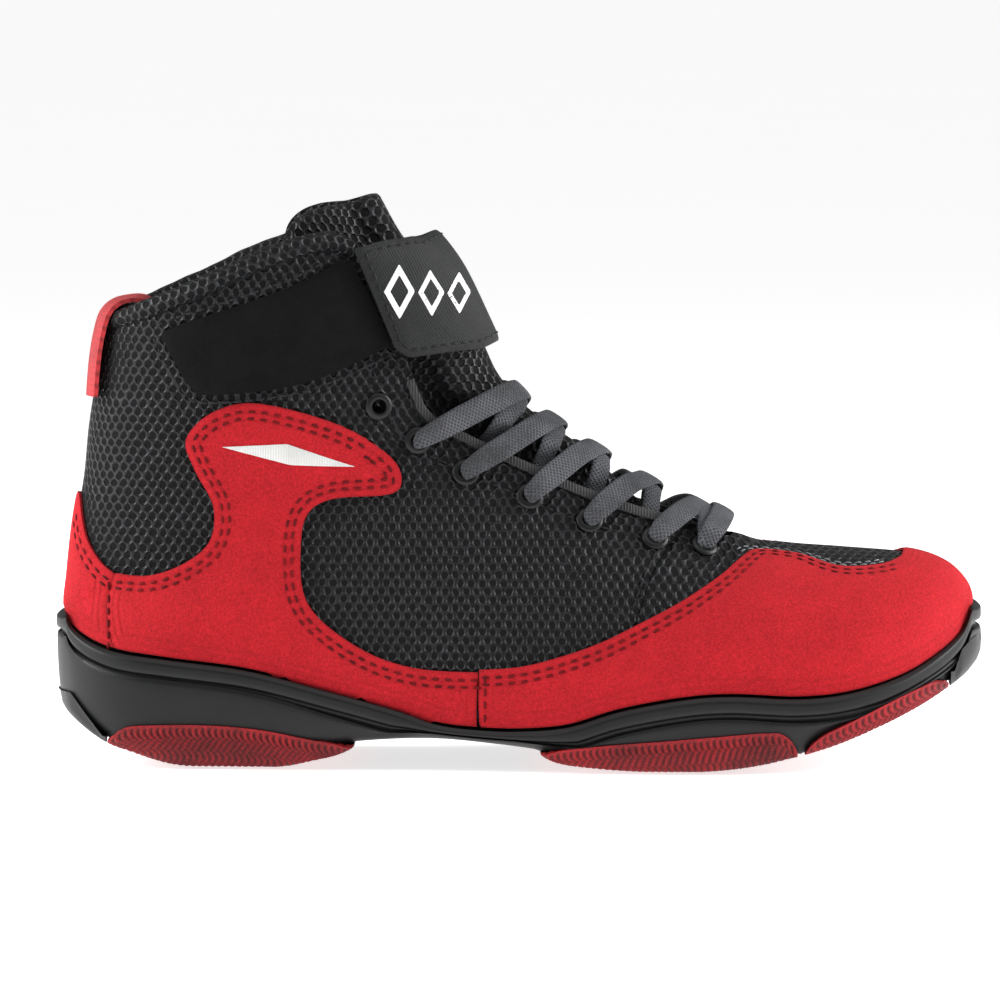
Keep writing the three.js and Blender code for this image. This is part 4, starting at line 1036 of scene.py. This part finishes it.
    def bumper(self, node: str, upper: Points, cut: float) -> None:
        """Raised black rubber round an end of the sole.

        Args:
            node: CAD node it stands for.
            upper: side-view line of its upper rim.
            cut: x where it stops; its sign says which end it is on.
        """
        rim = np.array(upper, float)
        end = math.copysign(1, cut)
        edge = LAST.ledge + self.pod_proud
        steps = np.linspace(-1, 1, 81)
        layers = [(-6.0, 0.0), *self.tread_curve, (0.0, 9.0), (0.0, 14.0), (-0.5, 18.0)]
        shells = []
        for inset in (0.0, 4.6):
            rows = []
            for k, (out, lift) in enumerate(layers):
                offset = edge + out - inset
                tip = end * (LAST.reach + offset)
                x = tip + (cut - tip) * steps ** 2
                low = self.tread(x)
                crest = np.interp(x, rim[:, 0], rim[:, 1])
                z = np.minimum(low + lift, np.maximum(crest, low + 0.4) - 0.03 * (len(layers) - k))
                hug = self.pod_proud * ease(crest - 7, crest, z)
                y = LAST.centre_y(x) + np.sign(steps) * self.half(x, offset - hug)
                x = x - end * hug * np.clip(1 - 2 * np.abs(steps), 0, 1)
                rows.append(np.stack([x, y, z + 0.25 * inset * (k < 3)], axis=1))
            shells.append(np.array(rows))
        points, faces = grid_shell(*shells)
        faces = [f[::-1] for f in faces] if end < 0 else faces
        made = make("rubber_" + node, points, faces, RUBBER, "boot")
        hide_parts(node)

    def pod(self, name: str, node: str, upper: Points) -> None:
        """One red tread pod whose ripples run in waves from its rim under the foot.

        Args:
            name: piece name.
            node: CAD node it stands for.
            upper: side-view line of its upper rim.
        """
        rim = outline(upper, 8)
        edge = LAST.ledge + self.pod_proud
        x0, x1 = rim[0, 0] + 0.2, rim[-1, 0] - 0.1
        x = np.linspace(x0, x1, int((x1 - x0) / 0.3))
        near = np.clip(np.minimum(np.abs(x - ARCH[0]), np.abs(x - ARCH[1])) / 9, 0, 1)
        rise = (self.tread_depth - 0.5) * (1 - np.sqrt(1 - (1 - near) ** 2))
        low = self.tread(x) + rise
        crest = np.maximum(np.interp(x, *rim.T), low + 0.5)
        ends = self.blunt(x, x0, x1)
        crest = low + 0.12 + (crest - low - 0.12) * ends
        section = [(edge - 7.5, 0.0), *((edge + out, up) for out, up in self.tread_curve), (edge, 30.0)]
        halves = np.stack([np.zeros_like(x), *(self.half(x, out) for out, _ in section)], axis=1)
        heights = np.stack([low, *(low + up for _, up in section)], axis=1)
        share = 1 - (1 - np.linspace(0, 1, self.samples)) ** 1.25
        middle = self.samples - 1
        grid = np.zeros((len(x), 2 * self.samples - 1, 3))
        back, painted_hollow_shade = np.zeros_like(grid), np.zeros(grid.shape[:2])
        for i, place in enumerate(x):
            line = np.stack([halves[i], heights[i]], axis=1)
            run = run_of(line)
            climb = np.maximum.accumulate(line[:, 1]) + np.arange(len(line)) * 1e-6
            at = np.interp(crest[i], climb, run) * share
            face = sample(at, run, line)
            n = unit(np.gradient(face, axis=0)) @ [[0, -1], [1, 0]]
            from_rim = at[-1] - at
            phase = place + 2.6 * np.sin(from_rim * 0.46 + 0.4) - 0.42 * from_rim
            wave = (0.5 - 0.5 * np.sin(2 * math.pi / self.ripple_pitch * phase)) ** 1.4
            wave = wave * ease(0.3, 1.2, from_rim) * ease(0, 1.2, min(place - x0, x1 - place))
            rear = face - n * (0.4 + 1.3 * ends[i])
            rear[:, 0] = np.maximum(rear[:, 0], 0)
            y = LAST.centre_y(place)
            for target, half in ((grid, face - n * (self.ripple_depth * wave)[:, None]), (back, rear)):
                target[i, :, 0] = place
                target[i, :middle, 1] = y - half[:0:-1, 0]
                target[i, middle:, 1] = y + half[:, 0]
                target[i, :, 2] = np.concatenate([half[:0:-1, 1], half[:, 1]])
            # Ripple depth, kept as the mask of the painted shade in the hollows.
            painted_hollow_shade[i] = np.concatenate([wave[:0:-1], wave])
        points, faces = grid_shell(grid, back)
        made = make(name, points, faces, RED_RUBBER, "boot", angle=60,
                    attributes={"painted_hollow_shade": np.concatenate([painted_hollow_shade.ravel(), painted_hollow_shade.ravel() * 0])})
        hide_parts(node)

    def build(self) -> None:
        """Builds the sole and dresses the CAD pieces that stay."""
        self.cup()
        self.pod("tread_pod_heel", "tread_heel", [[-128.5, 9], [-122.4, 12.4], [-111.5, 13.4],
                 [-96, 13.4], [-80.5, 12.1], [-66, 9.4], [-51, 6.8]])
        self.pod("tread_pod_forefoot", "tread_forefoot", [[6.2, 6], [24.8, 8.4], [43.4, 10], [62, 11.6],
                 [74.4, 12.5], [83, 12.2], [86, 9.6]])
        self.pod("tread_pod_toe", "tread_toe", [[88, 8.6], [93, 11.2], [105.3, 16.8], [117.7, 22.4],
                 [128, 26.3], [134, 27.6]])
        self.bumper("heel_bumper", [[-147, 22], [-140, 22], [-135, 16], [-129.5, 9.4]], -128.5)
        self.bumper("toe_bumper", [[135.5, 29], [138, 35.5], [141, 38], [147, 41]], 134.3)
        for finish, *nodes in ((FOAM, "midsole_core", "quarter_foam"),
                               (BOARD, "insole_board", "heel_counter", "toe_puff"),
                               (LINING, "sockliner", "quarter_lining", "vamp_lining", "strap_hook")):
            for node in nodes:
                dress(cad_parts[node], finish)


# Where panels and tread pods end, as x, and the panels' edges, as (x, z).
HEEL_SEAM, TOE_SEAM, POD_SPLIT = -125.5, -12.4, 87.0
ARCH = (-51.0, 6.2)
FLAG = [[-125.5, 59.5], [-114.6, 59], [-103.8, 63], [-96, 70], [-94.8, 81], [-100.4, 92],
        [-103.2, 101.6], [-95, 110.2], [-80.5, 113], [-55.1, 106], [-40, 96], [-36.6, 88.2],
        [-41, 84.4], [-58, 83.2], [-66, 78], [-67.8, 65.6], [-66.6, 53.4], [-60, 44.6], [-46, 35.6],
        [-31, 31.2], [-12.6, 30.2]]
TOE_TOP = [[-12.4, 31], [0, 31.9], [12.4, 35], [24.8, 39.3], [37.2, 45.2], [49.6, 51.4], [62, 58.9],
           [69.7, 64.4], [74.4, 65.7], [86.7, 64.4], [99.1, 61], [111.5, 61], [119.3, 62.9],
           [125.5, 66.5]]
HEEL_TOP = [[-125.5, 59.2], [-130, 62.8], [-134.6, 70.6], [-136.6, 83], [-137.2, 90], [-141, 93]]
QUARTER_SEAM = [[31, 20.6], [33, 36], [42, 62], [53.2, 76]]
EYELET_TOP = [[-43.7, 111.8], [-31.6, 101], [-16.7, 91], [3.1, 83.6], [21.7, 76.2], [42, 70.6],
              [57.4, 67.8]]
LININGS = 4.2                     # thickness of mesh, foam and lining
OVERLAY_TOP = GAP + 1.2           # height of the suede's face over the mesh


def circle(normal: Array, count: int) -> Array:
    """Directions round a normal, one row each."""
    a = unit(np.cross(normal, [0, 0, 1.0]))
    turn = np.arange(count)[:, None] * 2 * math.pi / count
    return np.cos(turn) * a + np.sin(turn) * np.cross(normal, a)


def ring_loop(s: float, v: float, radius: float, count: int = 16) -> Array:
    """Closed (s, v) circle of a real radius round a point."""
    sv = np.tile([s, v], (count, 1))
    return LAST.shifted(sv, radius * circle(LAST.normal(*sv[:1].T)[0], count))


@dataclass
class Upper:
    """Mesh quarters and vamp, suede overlays, velour panels, collar and their seams."""

    mesh_thick: float = 1.6
    roll: float = 3.4
    red_rows: list = field(default_factory=list)
    black_rows: list = field(default_factory=list)
    grey_rows: list = field(default_factory=list)

    def eyelets(self) -> Array:
        """Rows (s, v) of the eyelets of one side, from the top."""
        return LAST.locate(np.array(EYELET_TOP, float))

    def overlays(self) -> None:
        """The four red suede overlays and their double rows of stitches."""
        low = LOWER[(LOWER[:, 0] > HEEL_SEAM + GAP) & (LOWER[:, 0] < TOE_SEAM - GAP)]
        flag = LAST.locate(outline(FLAG, 5))
        foot = np.array([[HEEL_SEAM, np.interp(HEEL_SEAM, LOWER[:, 0], LOWER[:, 1])]])
        loop = np.vstack([LAST.locate(foot + [GAP / 2, 0]), LAST.locate(low),
                          LAST.locate(np.array([[TOE_SEAM - GAP, 30.2]])), flag[-2:0:-1],
                          LAST.locate(np.array([[HEEL_SEAM + GAP / 2, 59.5]]))])
        for side, node in ((Side.OUTER, "overlay_outer"), (Side.INNER, "overlay_inner")):
            made = Panel(wrap(loop, side), OVERLAY_TOP, 1.2, step=1.5).build(
                "suede_flag_" + side.name.lower(), SUEDE, "suede")
            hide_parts(node)
            for inset in (2.6, 4.8):
                self.red_rows.append(seam(wrap(flag, side), inset, OVERLAY_TOP, 4.0,
                                          flip=side is Side.OUTER))
            for x, z0, z1 in ((TOE_SEAM - GAP, 30, 14.5), (HEEL_SEAM + GAP, 37, 59)):
                join = LAST.locate(resample(np.array([[x, z0], [x, z1]]), 1))
                self.red_rows.append(seam(wrap(join, side), 2.2, OVERLAY_TOP, 4.0,
                                          flip=side is Side.INNER))
        # Heel: round the back, from the inner half.
        heel_low = LOWER[LOWER[:, 0] <= HEEL_SEAM - GAP / 2]
        top = LAST.locate(outline(HEEL_TOP, 5))
        top = top[:int(np.argmax(top[:, 1] > 0.97)) or len(top)]
        top = np.vstack([top, [top[-1, 0] + 0.002, 1]])
        half = np.vstack([top[::-1], LAST.locate(np.vstack([foot, heel_low[::-1]]))])
        half[-1, 1] = 1
        made = Panel(round_heel(half), OVERLAY_TOP, 1.2, step=1.5).build(
            "suede_heel", SUEDE, "suede")
        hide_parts("overlay_heel")
        for side in Side:
            for inset in (2.6, 4.8):
                self.red_rows.append(seam(wrap(top[:-3], side), inset, OVERLAY_TOP, 4.0,
                                          flip=side is Side.INNER))
        # Toe: over the ridge, from the inner half.
        toe_low = LOWER[LOWER[:, 0] > TOE_SEAM]
        top = LAST.locate(outline(TOE_TOP, 5))
        cut = int(np.argmax(top[:, 1] < 0.03)) or len(top)
        top = top[:cut]
        top[-1, 1] = 0
        half = np.vstack([top[::-1], LAST.locate(toe_low)])
        half[:, 0] = np.maximum(half[:, 0], 0.006)
        half = np.vstack([half, [0.006, 0]])
        made = Panel(over_ridge(half), OVERLAY_TOP, 1.2, step=1.5).build(
            "suede_toe", SUEDE, "suede")
        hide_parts("overlay_toe")
        for side in Side:
            for inset in (2.6, 4.8):
                self.red_rows.append(seam(wrap(top[:-4], side), inset, OVERLAY_TOP, 4.0,
                                          flip=side is Side.OUTER))
            for inset in (2.2, 3.8):
                self.grey_rows.append(seam(wrap(top[36:-4], side), inset, 0.1, 3.4,
                                           flip=side is Side.INNER))

    def mesh(self) -> None:
        """Spacer mesh of the quarters, in one round the heel, and of the vamp."""
        holes = self.eyelets()
        collar = outline(TOPLINE, 4) - [0, 2 * self.roll - 1]
        line = outline(QUARTER_SEAM, 6)
        throat = THROAT_LINE[(THROAT_LINE[:, 0] < line[-1, 0])
                             & (THROAT_LINE[:, 0] > collar[-1, 0] + 1.5)]
        low = LOWER[LOWER[:, 0] < line[0, 0] - 1]
        start = np.array([[-132.5, 132.0]])
        half = np.vstack([LAST.locate(np.vstack([start, collar[2:]])), LAST.locate(throat),
                          LAST.locate(line[::-1] - [GAP / 2, 0]), LAST.locate(low[::-1])])
        half[0, 1] = half[-1, 1] = 1
        rings = [ring_loop(s, side, 2.6) for s, v in holes for side in (v, 2 - v)]
        made = Panel(round_heel(half), 0.0, self.mesh_thick, step=1.9, holes=rings).build(
            "mesh_quarters", MESH, "mesh")
        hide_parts("quarter_mesh_outer", "quarter_mesh_inner")
        toe_low = LOWER[LOWER[:, 0] > line[0, 0] + 1]
        front = THROAT_LINE[THROAT_LINE[:, 0] > line[-1, 0] + 0.5]
        front = LAST.locate(front)
        end = int(np.argmax(front[:, 1] < 0.03)) + 1
        half = np.vstack([front[:end][::-1], LAST.locate(line[::-1] + [GAP / 2, 0]),
                          LAST.locate(toe_low)])
        half[0, 1] = 0
        half[:, 0] = np.maximum(half[:, 0], 0.006)
        half = np.vstack([half, [0.006, 0]])
        made = Panel(over_ridge(half), 0.0, self.mesh_thick, step=1.9).build(
            "mesh_vamp", MESH, "mesh")
        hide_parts("vamp_mesh")
        for side in Side:
            edge, front_seam = wrap(LAST.locate(throat), side), wrap(LAST.locate(line[9:]), side)
            for inset in (3.2, 11.5):
                self.black_rows.append(seam(edge, inset, 0.05, 3.6, flip=side is Side.OUTER))
            self.black_rows.append(seam(front_seam, 2.0, 0.05, 3.6, flip=side is Side.INNER))

    def velour(self) -> None:
        """Anchor panel on the outer side and landing patch on the inner side."""
        top = outline([[-110.6, 134.5], [-104.7, 137.5], [-70.6, 149.3], [-55, 157.6]], 5)
        low = outline([[-39.8, 130.6], [-66.6, 119.3], [-95.7, 115.6], [-102.2, 118.7],
                       [-107.5, 127.3], [-110.6, 134.5]], 5)
        loop = LAST.locate(np.vstack([top, [[-52.7, 157]], low]))
        made = Panel(wrap(loop, Side.OUTER), OVERLAY_TOP, 1.2, step=1.8, puff=0.5).build(
            "velour_anchor", VELOUR, "velour")
        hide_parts("strap_anchor")
        for line in (top, low):
            self.black_rows.append(seam(wrap(LAST.locate(line), Side.OUTER), 2.4,
                                        OVERLAY_TOP + 0.3, 3.6))
        land = outline([[-100, 135], [-96, 140.5], [-70.6, 149.3], [-58, 155]], 5)
        loop = LAST.locate(np.vstack([land, resample(np.array(
            [[-43, 131], [-60, 122], [-88, 117], [-97, 124]], float), 3)]))
        made = Panel(wrap(loop, Side.INNER), OVERLAY_TOP, 1.2, step=1.8).build(
            "velour_landing", VELOUR, "velour")
        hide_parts("landing_patch")
        self.black_rows.append(seam(wrap(closed(loop), Side.INNER), 2.2, OVERLAY_TOP, 3.6,
                                    flip=True))

    def collar(self) -> None:
        """Padded roll round the topline, pinched a little along its length."""
        line = outline(TOPLINE, 4)
        line = line[line[:, 0] > -131]
        sv = LAST.locate(line - [0, self.roll])
        runs = [LAST.lifted(sv[:, 0], sv[:, 1] * side.value, -LININGS / 2) for side in Side]
        path = np.vstack([runs[0][::-1], runs[1]])
        path = resample(curve_at(path[::2], np.linspace(0, len(path[::2]) - 1, 400)), 1.2)
        rng = np.random.default_rng(4)
        run = np.arange(len(path))
        pinch = 1 + 0.03 * np.sin(run * 0.35 + rng.uniform(0, 6)) + 0.02 * np.sin(run * 0.83)
        width = 2 * self.roll * pinch
        width[:3] *= [0.5, 0.8, 0.95]
        width[-3:] *= [0.95, 0.8, 0.5]
        points, faces, uv = tube(path, np.tile([0, 0, 1.0], (len(path), 1)), width,
                                 width * 0.98, 22, 2.0)
        around = np.arange(22) * 2 * self.roll * math.pi / 22
        uv = uv.reshape(len(path), 22, 2)
        uv[..., 1] = around * MM
        made = make("collar_pad", points, faces, MESH, "boot", uv=uv.reshape(-1, 2))
        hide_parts("collar_roll")

    def pull_tab(self) -> None:
        """Red tape loop over the back of the collar."""
        path = outline([[-135.6, 114], [-134.8, 124], [-133.4, 133], [-131, 140.5], [-126, 144.4],
                        [-119.5, 144.2], [-116, 139.5], [-116.8, 131]], 9)
        path = resample(path, 0.9)
        n = unit(np.gradient(path, axis=0)) @ [[0, 1], [-1, 0]]
        wide = np.linspace(-13.8, 13.8, 27)
        bow = 12.5 * (1 - np.sqrt(1 - (wide / 24) ** 2)) * 1.35      # it bends round the heel

        def sheet(off: float) -> Array:
            """Grid of the tape face that stands so far outside its path."""
            flat = path[:, None] + n[:, None] * off + np.stack([bow, bow * 0], axis=1)[None]
            return np.stack(np.broadcast_arrays(flat[..., 0], wide[None], flat[..., 1]), axis=2)

        points, faces = grid_shell(sheet(0.0), sheet(-1.3))
        run = np.arange(len(path)) * 0.9
        uv = np.stack(np.broadcast_arrays(wide[None], run[:, None]), axis=2).reshape(-1, 2) * MM
        made = make("tape_pull_tab", points, faces, TAB, "boot", uv=np.vstack([uv, uv]))
        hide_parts("pull_tab")

    def bindings(self) -> None:
        """Thin tape along both throat edges and the eyelet rings."""
        line = THROAT_LINE[(THROAT_LINE[:, 0] > -34) & (THROAT_LINE[:, 0] < 53)]
        n = unit(np.gradient(line, axis=0)) @ [[0, -1], [1, 0]]
        loop = LAST.locate(np.vstack([line + n * 0.3, (line + n * 2.8)[::-1]]))
        for side, node in ((Side.OUTER, "binding_outer"), (Side.INNER, "binding_inner")):
            made = Panel(wrap(loop, side), GAP + 0.8, 0.8, step=1.0).build(
                "tape_throat_" + side.name.lower(), BINDING, "binding")
            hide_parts(node)
        holes = self.eyelets()
        profile = [(2.0, -LININGS), (2.55, -LININGS), (2.6, 0.45), (4.1, 0.5), (4.2, 0.75),
                   (3.9, 1.1), (3.1, 1.35), (2.4, 1.2), (2.05, 0.7)]
        segments, m = 28, len(profile)
        one = [(o + (j + 1) % segments, p + (j + 1) % segments, p + j, o + j)
               for o, p in ((i * segments, (i + 1) % m * segments) for i in range(m))
               for j in range(segments)]
        faces = [[c + k * m * segments for c in f] for k in range(len(holes)) for f in one]
        for side in Side:
            points = []
            for s, v in holes * [1, side.value]:
                centre, n = LAST.point([s], [v])[0], LAST.normal([s], [v])[0]
                points += [centre + n * h + r * circle(n, segments) for r, h in profile]
            name = side.name.lower()
            made = make("eyelet_rings_" + name, np.vstack(points), faces, RING, "boot",
                        angle=40)
            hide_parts(*(f"eyelet_{name}_{k + 1}" for k in range(len(holes))))

    def mark(self) -> None:
        """Plain white embroidered lozenge on the outer suede."""
        shape = np.array([[-92, 99.5], [-72, 100.5], [-51, 93.2], [-71, 94.0]])
        loop = LAST.locate(resample(closed(shape), 1.0)[:-1])
        Panel(wrap(loop, Side.OUTER), OVERLAY_TOP + 0.35, 0.5, step=1.0, puff=0.2).build(
            "embroidered_lozenge", THREAD_WHITE, "suede")

    def build(self) -> None:
        """Builds every piece of the upper, then sews them."""
        self.overlays()
        self.mesh()
        self.velour()
        self.collar()
        self.pull_tab()
        self.bindings()
        self.mark()
        sew("stitches_dark_red", self.red_rows, THREAD_RED)
        sew("stitches_black", self.black_rows, THREAD_BLACK, radius=0.34)
        sew("stitches_grey", self.grey_rows, THREAD_GREY, radius=0.32, length=2.3)


@dataclass
class Tongue:
    """Padded mesh tongue, full above the quarters and pressed thin under them."""

    thick: float = 3.2

    def top(self, point: Array, v: Array) -> Array:
        """Height of its face over the last."""
        inner = side_of(THROAT_LINE, point[:, [0, 2]])
        return mix(-LININGS - 2.6, -1.2, ease(6, 11.5, inner))

    def build(self) -> None:
        """Builds the tongue."""
        head = outline([[-42, 178.2], [-50, 176.8], [-60, 173.4], [-67.5, 168.6], [-71, 163.5]], 4)
        line = np.vstack([[[-37, 178.4]], head, [[-62, 140], [-52, 116], [-40, 98], [-15, 86],
                          [10, 76], [40, 64], [60, 58], [74, 58]]])
        half = LAST.locate(resample(line, 3))
        half[:, 1] = np.minimum(half[:, 1], 0.72)
        half[0, 1] = 0
        half = np.vstack([half, [half[-1, 0], 0]])
        made = Panel(over_ridge(half), self.top, self.thick, step=2.0, soft_edge=0.5, puff=0.4).build(
            "tongue_pad", MESH, "mesh", "tongue")
        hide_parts("tongue")


@dataclass
class Strap:
    """Closing strap over the instep with hems, stitches and a plain printed pattern."""

    thick: float = 1.5

    def rise(self, point: Array, v: Array) -> Array:
        """Height of its underside over the last."""
        return 2.9 + 4.6 * (1 - ease(0.05, 0.55, np.abs(v))) * ease(128, 160, point[:, 2])

    def face(self, point: Array, v: Array) -> Array:
        """Height of its upper face over the last."""
        return self.rise(point, v) + self.thick

    def outline(self) -> Array:
        """Closed (s, v) loop, from the sewn root over the front and round the inner side."""
        lines = (
            (Side.OUTER, [[-38.2, 130.3], [-33.8, 127], [-22, 128.6], [-9.5, 129.4]]),
            (Side.INNER, [[-9.5, 129.4], [-22, 128.6], [-36, 126.4], [-60, 123.5], [-84, 125]]),
            (Side.INNER, [[-84, 125], [-89, 127.5], [-90.5, 134], [-89.5, 140.5], [-88, 143]]),
            (Side.INNER, [[-88, 143], [-66, 149], [-44, 160], [-28.3, 164.4]]),
            (Side.OUTER, [[-28.3, 164.4], [-32, 165], [-41.8, 163.4], [-50.3, 161]]),
            (Side.OUTER, [[-50.3, 161], [-38.2, 130.3]]))
        parts = [wrap(LAST.locate_raised(resample(np.array(line), 1.5), self.face), side)
                 for side, line in lines]
        # The lines meet exactly on the ridge.
        for part, row in ((parts[0], -1), (parts[1], 0), (parts[3], -1), (parts[4], 0)):
            part[row, 1] = 0
        return np.vstack(parts)

    def build(self) -> None:
        """Builds the strap, its stitches and its print."""
        loop = self.outline()
        made = Panel(loop, self.face, self.thick, step=1.8, puff=0.25).build(
            "strap_band", STRAP, "strap", "strap")
        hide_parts("strap")
        sew("stitches_strap", [seam(closed(loop), 2.2, lambda p, v: self.face(p, v) + 0.12, 3.4)],
            THREAD_BLACK, "strap", radius=0.33)
        # Three hollow diamonds in a row, each smaller than the one before.
        for k, x in enumerate((-37.0, -27.2, -18.6)):
            ring = np.array([[-4.7, 0], [0, 8.6], [4.7, 0], [0, -8.6]]) * (1.0 - 0.12 * k)
            rim, hole = (wrap(LAST.locate_raised(resample(closed(
                ring * share + [x, 147.5 - k * 0.4]), 0.8)[:-1], self.face), Side.OUTER)
                for share in (1.0, 0.6))
            Panel(rim, lambda p, v: self.face(p, v) + 0.33, 0.28, step=0.9, holes=[hole]).build(
                f"print_diamond_{k + 1}", INK, "strap", "strap")


@dataclass
class Lacing:
    """One flat lace over the throat, laced through six pairs of eyelets."""

    width: float = 7.6
    thick: float = 1.3
    count: int = 7

    def nodes(self) -> tuple[Array, Array, Array]:
        """Centres, width directions and widths along the whole lace."""
        tongue = Tongue()
        holes = LAST.locate(np.array(EYELET_TOP, float))
        over, under = GAP + 0.8 + GAP + self.thick / 2 + 0.9, -LININGS - GAP - 0.6 - self.thick / 2
        rows: list[tuple[Array, Array, float]] = []

        def on_tongue(p: Array) -> float:
            """Height just over the tongue near a point."""
            near = np.array([[p[0] + a, 0, p[2] + b]
                             for a, b in ((0, 0), (3.2, 0), (0, 3.2), (3.2, 3.2))])
            return 3.4 * GAP + self.thick / 2 + float(tongue.top(near, near[:, 0]).max())

        def bar(start: tuple, stop: tuple, upper: bool, flip: int, dives: bool, level: int) -> list:
            """One crossing between two eyelets, each given as (side, number)."""
            a, b = (holes[k] * [1, sign] for sign, k in (start, stop))
            p0, p1 = LAST.point(*a[:, None])[0], LAST.point(*b[:, None])[0]
            direction, span = (p1 - p0) / np.linalg.norm(p1 - p0), float(np.linalg.norm(p1 - p0))
            made = []

            def put(share: float, height: object, wide: float) -> None:
                """Adds a node at a share of the crossing."""
                sv = mix(a, b, share)[:, None]
                p, n = LAST.point(*sv)[0], LAST.normal(*sv)[0]
                h = height(p) if callable(height) else height
                across = np.cross(direction, n)
                made.append((p + n * h, across / np.linalg.norm(across) * flip, wide))

            near = 5 / span
            high = over + (self.thick + GAP if level else 0)
            cross = lambda p: on_tongue(p) + (self.thick + GAP if upper else 0)
            put(0, -1.6, 3.4)
            put(0, 1.5, 5.6)
            put(near * 0.45, high + 0.1, 7.0)
            put(near, high + 0.1, self.width)
            for share in (0.16, 0.27):
                put(share, high, self.width)
            for share in (0.4, 0.5, 0.6):
                put(share, cross if dives else high, self.width)
            if dives:
                for share in (0.66, 0.71, 0.76, 0.82):
                    put(share, lambda p: max(under, on_tongue(p)), self.width * 0.85)
                put(1 - near * 0.6, under, 4.5)
                put(1, under, 2.2)
            else:
                for share in (0.73, 0.84):
                    put(share, high, self.width)
                put(1 - near, high, self.width)
                put(1 - near * 0.45, high, 7.0)
                put(1, 1.5, 5.6)
                put(1, -1.6, 3.4)
            return made

        route = [(-1 if k % 2 else 1, k) for k in range(1, self.count)]
        route += [(1 if k % 2 else -1, k) for k in range(self.count - 1, 0, -1)]
        last = self.count - 1

        def tuck(hole: tuple, flip: int) -> list:
            """End of the lace, tucked in under the quarter."""
            s, v = holes[hole[1]] * [1, hole[0]]
            out = []
            for spread, wide in ((1.3, 5.0), (1.14, 4.0), (1.0, 2.2)):
                at = np.array([[s], [v * spread]])
                out.append((LAST.lifted(at[0], at[1], under)[0],
                            np.array([0.8, 0, -0.6]) * flip, wide))
            return out

        rows += tuck(route[0], 1)
        for i, (start, stop) in enumerate(zip(route, route[1:])):
            flip = -1 if i % 2 else 1
            if start[1] == stop[1]:
                rows += bar(start, stop, False, flip, False, 1)
            elif start[1] < stop[1]:
                rows += bar(start, stop, start[0] < 0, flip, stop[1] < last, 0)
            else:
                rows += bar(stop, start, stop[0] < 0, -flip, start[1] < last, 0)[::-1]
        rows += tuck(route[-1], -1)[::-1]
        return tuple(np.array(column) for column in zip(*rows))

    def build(self) -> None:
        """Builds the lace."""
        centre, across, wide = self.nodes()
        k = np.linspace(0, len(centre) - 1, 5 * (len(centre) - 1) + 1)
        i = np.arange(len(centre))
        path = curve_at(centre, k)
        turn = sample(k, i, across)
        width = np.interp(k, i, wide)
        thick = self.thick * (1.4 + 1.3 * np.clip((self.width - width) / self.width, 0, 1))
        points, faces, uv = tube(path, turn, width, thick, 16, 2.4)
        made = make("lace_flat", points, faces, LACE, "boot", uv=uv, angle=70)
        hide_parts("lace")


@dataclass
class Studio:
    """White floor, soft lights and the camera."""

    distance: float = 2.6
    elevation: float = 4.5
    view_width: float = 0.3098
    aim: tuple[float, float, float] = (-0.0062, -0.03, 0.083)

    def lamp(self, name: str, place: Sequence[float], size: float, power: float) -> None:
        """Adds a soft square lamp aimed at the boot."""
        light = bpy.data.lights.new(name, "AREA")
        light.energy, light.size = power, size
        made = bpy.data.objects.new(name, light)
        made.location = place
        made.rotation_euler = (Vector((0, 0, 0.07)) - Vector(place)).to_track_quat("-Z", "Y").to_euler()
        bpy.context.scene.collection.objects.link(made)

    def build(self) -> None:
        """Builds the studio."""
        bpy.ops.object.select_all(action="DESELECT")
        bpy.ops.mesh.primitive_plane_add(size=60.0, location=(0, 0, -0.0004))
        floor = bpy.context.object
        floor.name = "studio_floor"
        dress(floor, FLOOR)
        world = bpy.context.scene.world or bpy.data.worlds.new("studio")
        bpy.context.scene.world = world
        world.use_nodes = True
        back = world.node_tree.nodes["Background"]
        back.inputs["Color"].default_value = (1, 1, 1, 1)
        back.inputs["Strength"].default_value = 0.24
        self.lamp("softbox_toe", (1.0, 0.0, 0.55), 0.7, 15)
        self.lamp("softbox_heel", (-1.0, 0.0, 0.55), 0.7, 14)
        self.lamp("softbox_top", (0.0, -0.35, 1.3), 1.0, 5)
        camera = bpy.data.cameras.new("camera")
        camera.sensor_width = 36
        camera.lens = 18 / (self.view_width / 2 / self.distance)
        camera.clip_end = 200
        made = bpy.data.objects.new("camera", camera)
        tilt = math.radians(self.elevation)
        made.location = Vector(self.aim) + self.distance * Vector((0, -math.cos(tilt),
                                                                   math.sin(tilt)))
        made.rotation_euler = (Vector(self.aim) - made.location).to_track_quat("-Z", "Y").to_euler()
        bpy.context.scene.collection.objects.link(made)
        bpy.context.scene.camera = made
        bpy.context.scene.view_settings.view_transform = "Standard"


def main() -> None:
    """Builds the boot piece by piece and reports each one."""
    logging.basicConfig(level=logging.INFO, format="%(name)s %(message)s")
    Studio().build()
    for assembly in (Sole(), Upper(), Tongue(), Strap(), Lacing()):
        LOG.info("building %s", type(assembly).__name__)
        assembly.build()


if __name__ == "__main__":
    main()
